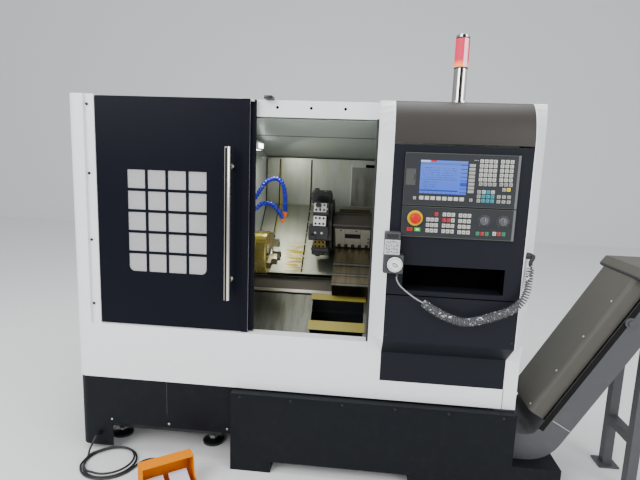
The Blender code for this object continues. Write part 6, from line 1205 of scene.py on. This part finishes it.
def make_pendant_cord():
    """The pendant's thin lead, and its sleeve with the curly cord inside."""
    sleeve_route = smooth_route([at(*p) for p in SLEEVE_POINTS], 0.008)[::-1]
    lead_route = smooth_route([at(*p) for p in LEAD_POINTS], 0.004)[::-1]
    sleeve = tube("pendant_coil_sleeve", "sleeve", "sleeve_clear", sleeve_route, 0.017, 20)
    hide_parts("pendant_coil")
    pitch, reach, taper = 0.0105, 0.0112, 0.02
    fine = smooth_route(sleeve_route, 0.001)
    length = route_length(fine)
    helix, done, last = [], 0.0, fine[0]
    for point, side, other in framed(fine):
        done += (point - last).length
        last = point
        angle = math.tau * done / pitch
        r = reach * min(1.0, done / taper + 0.15, (length - done) / taper + 0.15)
        helix.append(point + side * (r * math.cos(angle)) + other * (r * math.sin(angle)))
    curl = piece("pendant_curly_cord", "cable", "cable_black",
                 add_swept(bmesh.new(), helix, [0.0029] * len(helix), 7), angle=80.0)
    lead = tube("pendant_thin_lead", "lead", "cable_black", lead_route, 0.003, 12)
    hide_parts("pendant_lead")
    tuple(sleeve_route[0])
    route_length(sleeve_route)
    [tuple(p) for p in sleeve_route]
    tuple(lead_route[0])
    route_length(lead_route)
    [tuple(p) for p in lead_route]


def make_base(look):
    """Plinth and tank screws, the tank's top edge and drain, and the levelling pads' nuts."""
    screw = head(DOME, 0.0055, 0.003)
    grid("plinth_screws", "zinc", "base_paint", screw, at(-0.809, 0.006, 0.16), 3, step=(0.2705, 0, 0))
    grid("tank_screws", "black_screw", "base_paint", screw, at(-0.2, -0.042, 0.345), 6, step=(0.222, 0, 0))
    boxes("tank_top_edge", "base", "base_paint", [((-0.24, -0.0435, 0.3525), (0.9615, -0.041, 0.36))], 0.0006, 1)
    turned("tank_drain", "zinc", "steel",
           [(0.02, -0.002), (0.02, 0.008), (0.014, 0.01), (0.014, 0.022),
            (0.011, 0.024)], (node_box("coolant_tank")[1].x, 0.24, 0.06), RIGHT, 16)
    nut = unit("pad_nut", add_turned(bmesh.new(), [(0.021, 0), (0.021, 0.012), (0.018, 0.014)], steps=6))
    for name, x, y in (("front_left", -0.84, 0.16), ("front_middle", -0.38, 0.16), ("right", 0.84, 0.49),
                       ("back_right", 0.84, 1.14), ("back_left", -0.84, 1.14), ("back_middle", -0.32, 1.14)):
        grid(f"pad_nuts_{name}", "zinc", "steel", nut, at(x, y, 0.023), rows=2, fall=(0, 0, 0.028))


def make_conveyor(look):
    """Cover screws, a groove and a weld, the hood's seal, a bearing, belt slats and the motor's fins."""
    screw = head(DOME, 0.005, 0.0028, (-math.sin(INCLINE), 0, math.cos(INCLINE)))
    grid("conveyor_cover_screws", "zinc", "steel", screw, up_incline(0.075, 0.063, 0.184), rows=4,
         fall=up_incline(0.181, 0, 0) - up_incline(0, 0, 0))
    turn = Matrix.Rotation(-INCLINE, 4, "Y")
    # The black strip in the groove under the cover's rounded edge is painted shade; the zinc strip is a weld
    for label, s, n, y, paint in (("groove", (0.012, 0.742), (0.093, 0.1155), 0.0193, "groove"),
                                  ("weld", (0.0715, 0.0745), (0.001, 0.0885), 0.0192, "zinc")):
        centre = Matrix.Translation(up_incline(sum(s) / 2, y + 0.001, sum(n) / 2))
        work = block(bmesh.new(), centre @ turn, (s[1] - s[0], 0.002, n[1] - n[0]))
        piece(f"conveyor_{label}", paint, "conveyor_paint", work)
    seal = [up_incline(0.746, y, n) for y, n in ((0.322, 0.15), (0.322, 0.181), (0.3, 0.1835), (0.17, 0.1835),
                                                 (0.03, 0.1835), (0.0105, 0.18), (0.009, 0.15), (0.009, 0.122))]
    tube("hood_seal", "rubber", "cable_black", smooth_route(seal, 0.01), 0.0062)
    low, high = node_box("conveyor_drive_shaft")
    x, z = (low.x + high.x) / 2, (low.z + high.z) / 2
    turned("drive_bearing", "cast", "cast_iron", [(0.03, -0.001), (0.03, 0.008), (0.026, 0.012), (0.016, 0.012)],
           (x, 0.02, z), FRONT, 24)
    slat = unit("belt_slat", add_box(bmesh.new(), (-0.0165, -0.136, -0.0025), (0.0165, 0.136, 0.0025), 0.0012, 1))
    slat.data.transform(Matrix.Rotation(math.radians(90), 4, "Z") @ Matrix.Rotation(math.radians(90), 4, "Y"))
    # The belt runs level, round a bend and up the incline, half a slat above its floor
    level, bend, lift = 0.146, 0.1455, 0.0105
    points = [(px, level) for px in (-0.215, 0.3, 0.7, 1.03)]
    points += [(1.033 + 0.146 * math.sin(a), level + bend - bend * math.cos(a))
               for a in (math.radians(20), math.radians(40), math.radians(60))]
    points += [(INCLINE_FOOT[0] + 0.5 * s - 0.866 * lift, INCLINE_FOOT[1] + 0.866 * s + 0.5 * lift)
               for s in (0.25, 0.5, 0.7)]
    threaded("belt_slats", "slide", "stainless", slat, smooth_route([at(px, 0.17, pz) for px, pz in points], 0.02),
             56, "Z_UP")
    fin = unit("motor_fin", add_box(bmesh.new(), (0.056, -0.0012, -0.055), (0.066, 0.0012, 0.055)))
    low, high = node_box("conveyor_gearmotor")
    ring("motor_fins", "cast", "cast_iron", fin, at(x, high.y - 0.06, low.z + 0.078), 24)


def make_cabinet(look):
    """Louvres on both sides of the electrical cabinet, and the locks in its door's free edge."""
    low, high = node_box("electrical_cabinet")
    blade = unit("louvre", add_box(bmesh.new(), (-0.0015, -0.075, -0.004), (0.0015, 0.075, 0.004), 0.0006, 1))
    for side, x in (("left", low.x), ("right", high.x)):
        grid(f"cabinet_louvres_{side}", "white", "white_paint", blade, at(x, (low.y + high.y) / 2, high.z - 0.06),
             rows=9, fall=(0, 0, -0.02))
    low, high = node_box("cabinet_door")
    work = bmesh.new()
    for z in (0.7, 1.3):
        add_turned(work, [(0.007, -0.001), (0.007, 0.001), (0.0055, 0.0015)], at(low.x, high.y - 0.01, z),
                   (-1, 0, 0), 20)
    piece("cabinet_locks", "zinc", "steel", work, "cabinet_door")


def make_foot_switch(look):
    """The pedals' ribs, the guard's screws and the cable, coiled twice on the floor."""
    turn = Matrix.Translation(at(*FOOT_FRAME, 0)) @ Matrix.Rotation(FOOT_TURN, 4, "Z")
    rise, lift = math.radians(20), 0.0085
    for name, x in (("left", -0.056), ("right", 0.04)):
        work = bmesh.new()
        for k in range(12):
            along = 0.006 + 0.0092 * k
            y = -0.17 + along * math.cos(rise) - lift * math.sin(rise)
            z = 0.024 + along * math.sin(rise) + lift * math.cos(rise)
            place = turn @ Matrix.Translation((x, y, z)) @ Matrix.Rotation(rise, 4, "X")
            block(work, place, (0.07, 0.0042, 0.0022), 0.0008)
        piece(f"{name}_pedal_ribs", "pedal", "pedal_grey", work, f"{name}_pedal")
    work = bmesh.new()
    for side in (-1, 1):
        for y, z in ((-0.02, 0.02), (-0.06, 0.02), (-0.03, 0.105)):
            add_turned(work, [(0.0045, -0.001), (0.0045, 0.0012), (0.003, 0.002)],
                       turn @ Vector((side * 0.105, y, z)), turn.to_3x3() @ Vector((side, 0, 0)), 10)
    piece("guard_screws", "zinc", "steel", work)
    make_foot_cable()


def make_foot_cable():
    """The cable from the plinth's gland, twice round on the floor and to the back of the foot switch."""

    def around(first, step, count, radius, z, wider=0.0, higher=0.0, start=0):
        """Points of an arc in degrees whose radius and height may change with each step."""
        for k in range(start, count):
            a, r = math.radians(first + step * k), radius + wider * k
            yield -0.775 + r * math.cos(a), -0.078 + r * math.sin(a), z + higher * k

    points = [
        (-0.868, -0.0164, 0.09), (-0.868, -0.031, 0.09), (-0.877, -0.045, 0.064), (-0.889, -0.052, 0.032),
        (-0.89, -0.06, 0.013), *around(190, 15, 23, 0.109, 0.0052),
        *around(535, 15, 5, 0.1085, 0.0052, -0.0006, 0.0023),
        *around(610, 15, 17, 0.099, 0.015), *around(865, 10, 3, 0.0995, 0.0165, 0.007, -0.0018),
        *around(900, 15, 12, 0.1209, 0.006, start=1), (-0.638, -0.056, 0.006), (-0.61, -0.036, 0.008),
        (-0.578, -0.042, 0.013), (-0.55, -0.07, 0.021), (-0.5341, -0.1042, 0.028), (-0.5184, -0.1247, 0.03),
        (-0.4972, -0.1531, 0.03)]
    route = smooth_route([at(*p) for p in points], 0.009)
    cable = tube("foot_switch_cable", "cable", "cable_black", route, 0.0045)
    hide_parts("foot_cable", "foot_cable_coil")
    tuple(route[0])
    route_length(route)
    [tuple(p) for p in route]


# Each hose: y, foot, reach and rise of its bow, its nozzle's tip and root as x and z, and its route as shares of
# reach and rise
HOSES = {
    "upper": (0.352, 1.08, 0.153, 0.192, (-0.0905, 1.08), (-0.0885, 1.115),
              ((0.0, 0.46), (0.1, 0.56), (0.24, 0.76), (0.4, 0.92), (0.6, 1.0), (0.8, 0.99), (0.94, 0.86),
               (1.0, 0.62), (1.02, 0.36), (1.016, 0.22))),
    "lower": (0.318, 1.066, 0.155, 0.09, (-0.0897, 1.066), (-0.0955, 1.084),
              ((0.0, 0.56), (0.16, 0.74), (0.3, 0.96), (0.5, 1.0), (0.68, 0.9), (0.84, 0.62), (0.93, 0.37))),
}


def make_hoses(look):
    """The hoses' ball joints, their orange nozzles and the wall fittings."""
    for name, (y, _, _, _, tip, root, _) in HOSES.items():
        start, end = at(root[0], y, root[1]), at(tip[0], y, tip[1])
        nozzle = add_swept(bmesh.new(), [start + (end - start) * k / 4 for k in range(5)],
                           (0.0135, 0.0125, 0.01, 0.0075, 0.0055), 16)
        piece(f"hose_nozzle_{name}", "nozzle", "red_plastic", nozzle)
    for name, (y, foot, _, rise, _, _, shares) in HOSES.items():
        turned(f"hose_fitting_{name}", "zinc", "steel",
               [(0.016, 0.0005), (0.016, 0.008), (0.0135, 0.01), (0.0135, 0.018)],
               (-0.2597, y, foot + rise * shares[0][1]), RIGHT, 6)
    bead = unit("hose_bead", add_turned(bmesh.new(), [(0.008, -0.006), (0.0106, -0.0042), (0.0114, -0.0005),
                                                      (0.0106, 0.0035), (0.0078, 0.0062)], steps=16))
    for name, (y, foot, reach, rise, _, _, shares) in HOSES.items():
        route = smooth_route([at(-0.2447 + a * reach, y, foot + b * rise) for a, b in shares], 0.008)
        threaded(f"hose_joints_{name}", "hose", "hose_blue", bead, route, max(2, round(route_length(route) / 0.0145)))


# Add-on

def colour(name, description, default):
    """A colour that a user may change."""
    return bpy.props.FloatVectorProperty(name=name, description=description, size=3, subtype="COLOR",
                                         default=default, min=0, max=1)


def number(name, description, default, **limits):
    """A number that a user may change, with its limits and unit."""
    return bpy.props.FloatProperty(name=name, description=description, default=default, **limits)


class LatheLook(bpy.types.PropertyGroup):
    """Sizes, colours and light that a user would change."""
    white: colour("White", "Enamel of the enclosure", (0.8, 0.81, 0.82))
    door: colour("Door", "Enamel of the sliding door", (0.004, 0.0048, 0.0088))
    console: colour("Column", "Enamel of the control column", (0.0068, 0.0082, 0.0122))
    hood: colour("Hood", "Enamel of the column's hood", (0.03, 0.026, 0.022))
    base: colour("Plinth", "Enamel of plinth and tank", (0.0036, 0.0048, 0.0068))
    conveyor: colour("Conveyor", "Enamel of the conveyor's casing", (0.052, 0.054, 0.058))
    conveyor_cover: colour("Conveyor cover", "Enamel of its cover", (0.056, 0.053, 0.043))
    guard: colour("Foot guard", "Enamel of the foot guard", (0.7, 0.21, 0.0))
    hose: colour("Hoses", "Plastic of the coolant hoses", (0.006, 0.01, 0.42))
    floor: colour("Floor", "The plain floor", (0.74, 0.74, 0.73))
    key_size: number("Key", "Width of a key", 0.0134, unit="LENGTH", min=0.008, max=0.016)
    lamp: number("Lamp", "Glow of the lamp's lens", 9.0, min=0)
    key_light: number("Window light", "Light from the front left", 215.0, unit="POWER", min=0)
    fill_light: number("Fill light", "Light from the right", 90.0, unit="POWER", min=0)
    top_light: number("Roof light", "Light from above", 175.0, unit="POWER", min=0)
    inner_light: number("Cutting zone light", "Light of the work lamp", 1.6, unit="POWER", min=0)
    room_light: number("Room light", "Even light from all round", 0.94, min=0)
    lens: number("Lens", "Focal length in mm on a 36 mm sensor", 27.0, min=10)
    yaw: number("Yaw", "Camera turn to the left", math.radians(5.3), unit="ROTATION")
    pitch: number("Pitch", "Camera tilt down", math.radians(8.96), unit="ROTATION")
    roll: number("Roll", "Camera roll", math.radians(2.12), unit="ROTATION")
    camera_place: bpy.props.FloatVectorProperty(name="Camera", description="Camera in the machine's frame", size=3,
                                                subtype="TRANSLATION", unit="LENGTH", default=(0.3, -1.945, 1.35))


def operator(name, label, words, maker):
    """An Operator class that runs one maker with the scene's look and clears its helpers away."""

    def execute(self, context):
        maker(context.scene.lathe_look)
        while UNITS:
            bpy.data.objects.remove(UNITS.pop())
        return {"FINISHED"}

    return type(f"LATHE_OT_{name}", (bpy.types.Operator,), {
        "__doc__": words, "bl_idname": f"lathe.{name}", "bl_label": label, "execute": execute})


STEPS = (
    ("finishes", "Finishes", "Gives every solid its finish", make_finish_all),
    ("stage", "Stage", "Floor, backdrop, light and camera", make_stage),
    ("pendant", "Hand pendant", "Hand pendant, its lead and its curly cord", make_pendant),
    ("foot_switch", "Foot switch", "Pedal ribs, guard screws and the cable", make_foot_switch),
    ("enclosure", "Enclosure", "Screws, joints, seals and the door switch", make_enclosure),
    ("door", "Sliding door", "Glazing beads, edge strips, catch and handle cap", make_door),
    ("cutting_zone", "Cutting zone", "Chuck, turret, wipers, pit and lamp", make_cutting_zone),
    ("hoses", "Coolant hoses", "Ball joints, nozzles and wall fittings", make_hoses),
    ("display", "Display unit", "Screen and keys", make_display),
    ("operator_panel", "Operator panel", "Mode keys, scales and stop ring", make_operator_panel),
    ("column", "Column", "Hood, shelf lining and screws of the control column", make_column),
    ("tower", "Signal tower", "Ribs, cap and seals of the lens", make_tower),
    ("base", "Base and tank", "Screws, drain and pad nuts", make_base),
    ("conveyor", "Chip conveyor", "Screws, belt, bearing and motor fins", make_conveyor),
    ("cabinet", "Cabinet", "Louvres and locks", make_cabinet),
)
OPERATORS = [operator(*step) for step in STEPS]


class LATHE_PT_panel(bpy.types.Panel):
    """Lists the steps in the 3D view's sidebar."""
    bl_label = "Turning lathe"
    bl_idname = "LATHE_PT_panel"
    bl_space_type = "VIEW_3D"
    bl_region_type = "UI"
    bl_category = "Lathe"

    def draw(self, context):
        look = context.scene.lathe_look
        for name in look.bl_rna.properties.keys():
            if name not in ("rna_type", "name"):
                self.layout.prop(look, name)
        for name, *_ in STEPS:
            self.layout.operator(f"lathe.{name}")


CLASSES = [LatheLook, *OPERATORS, LATHE_PT_panel]


def register():
    for item in CLASSES:
        bpy.utils.register_class(item)
    bpy.types.Scene.lathe_look = bpy.props.PointerProperty(type=LatheLook)


def unregister():
    del bpy.types.Scene.lathe_look
    for item in reversed(CLASSES):
        bpy.utils.unregister_class(item)


def main():
    register()
    for name, *_ in STEPS:
        getattr(bpy.ops.lathe, name)()


if __name__ == "__main__":
    main()
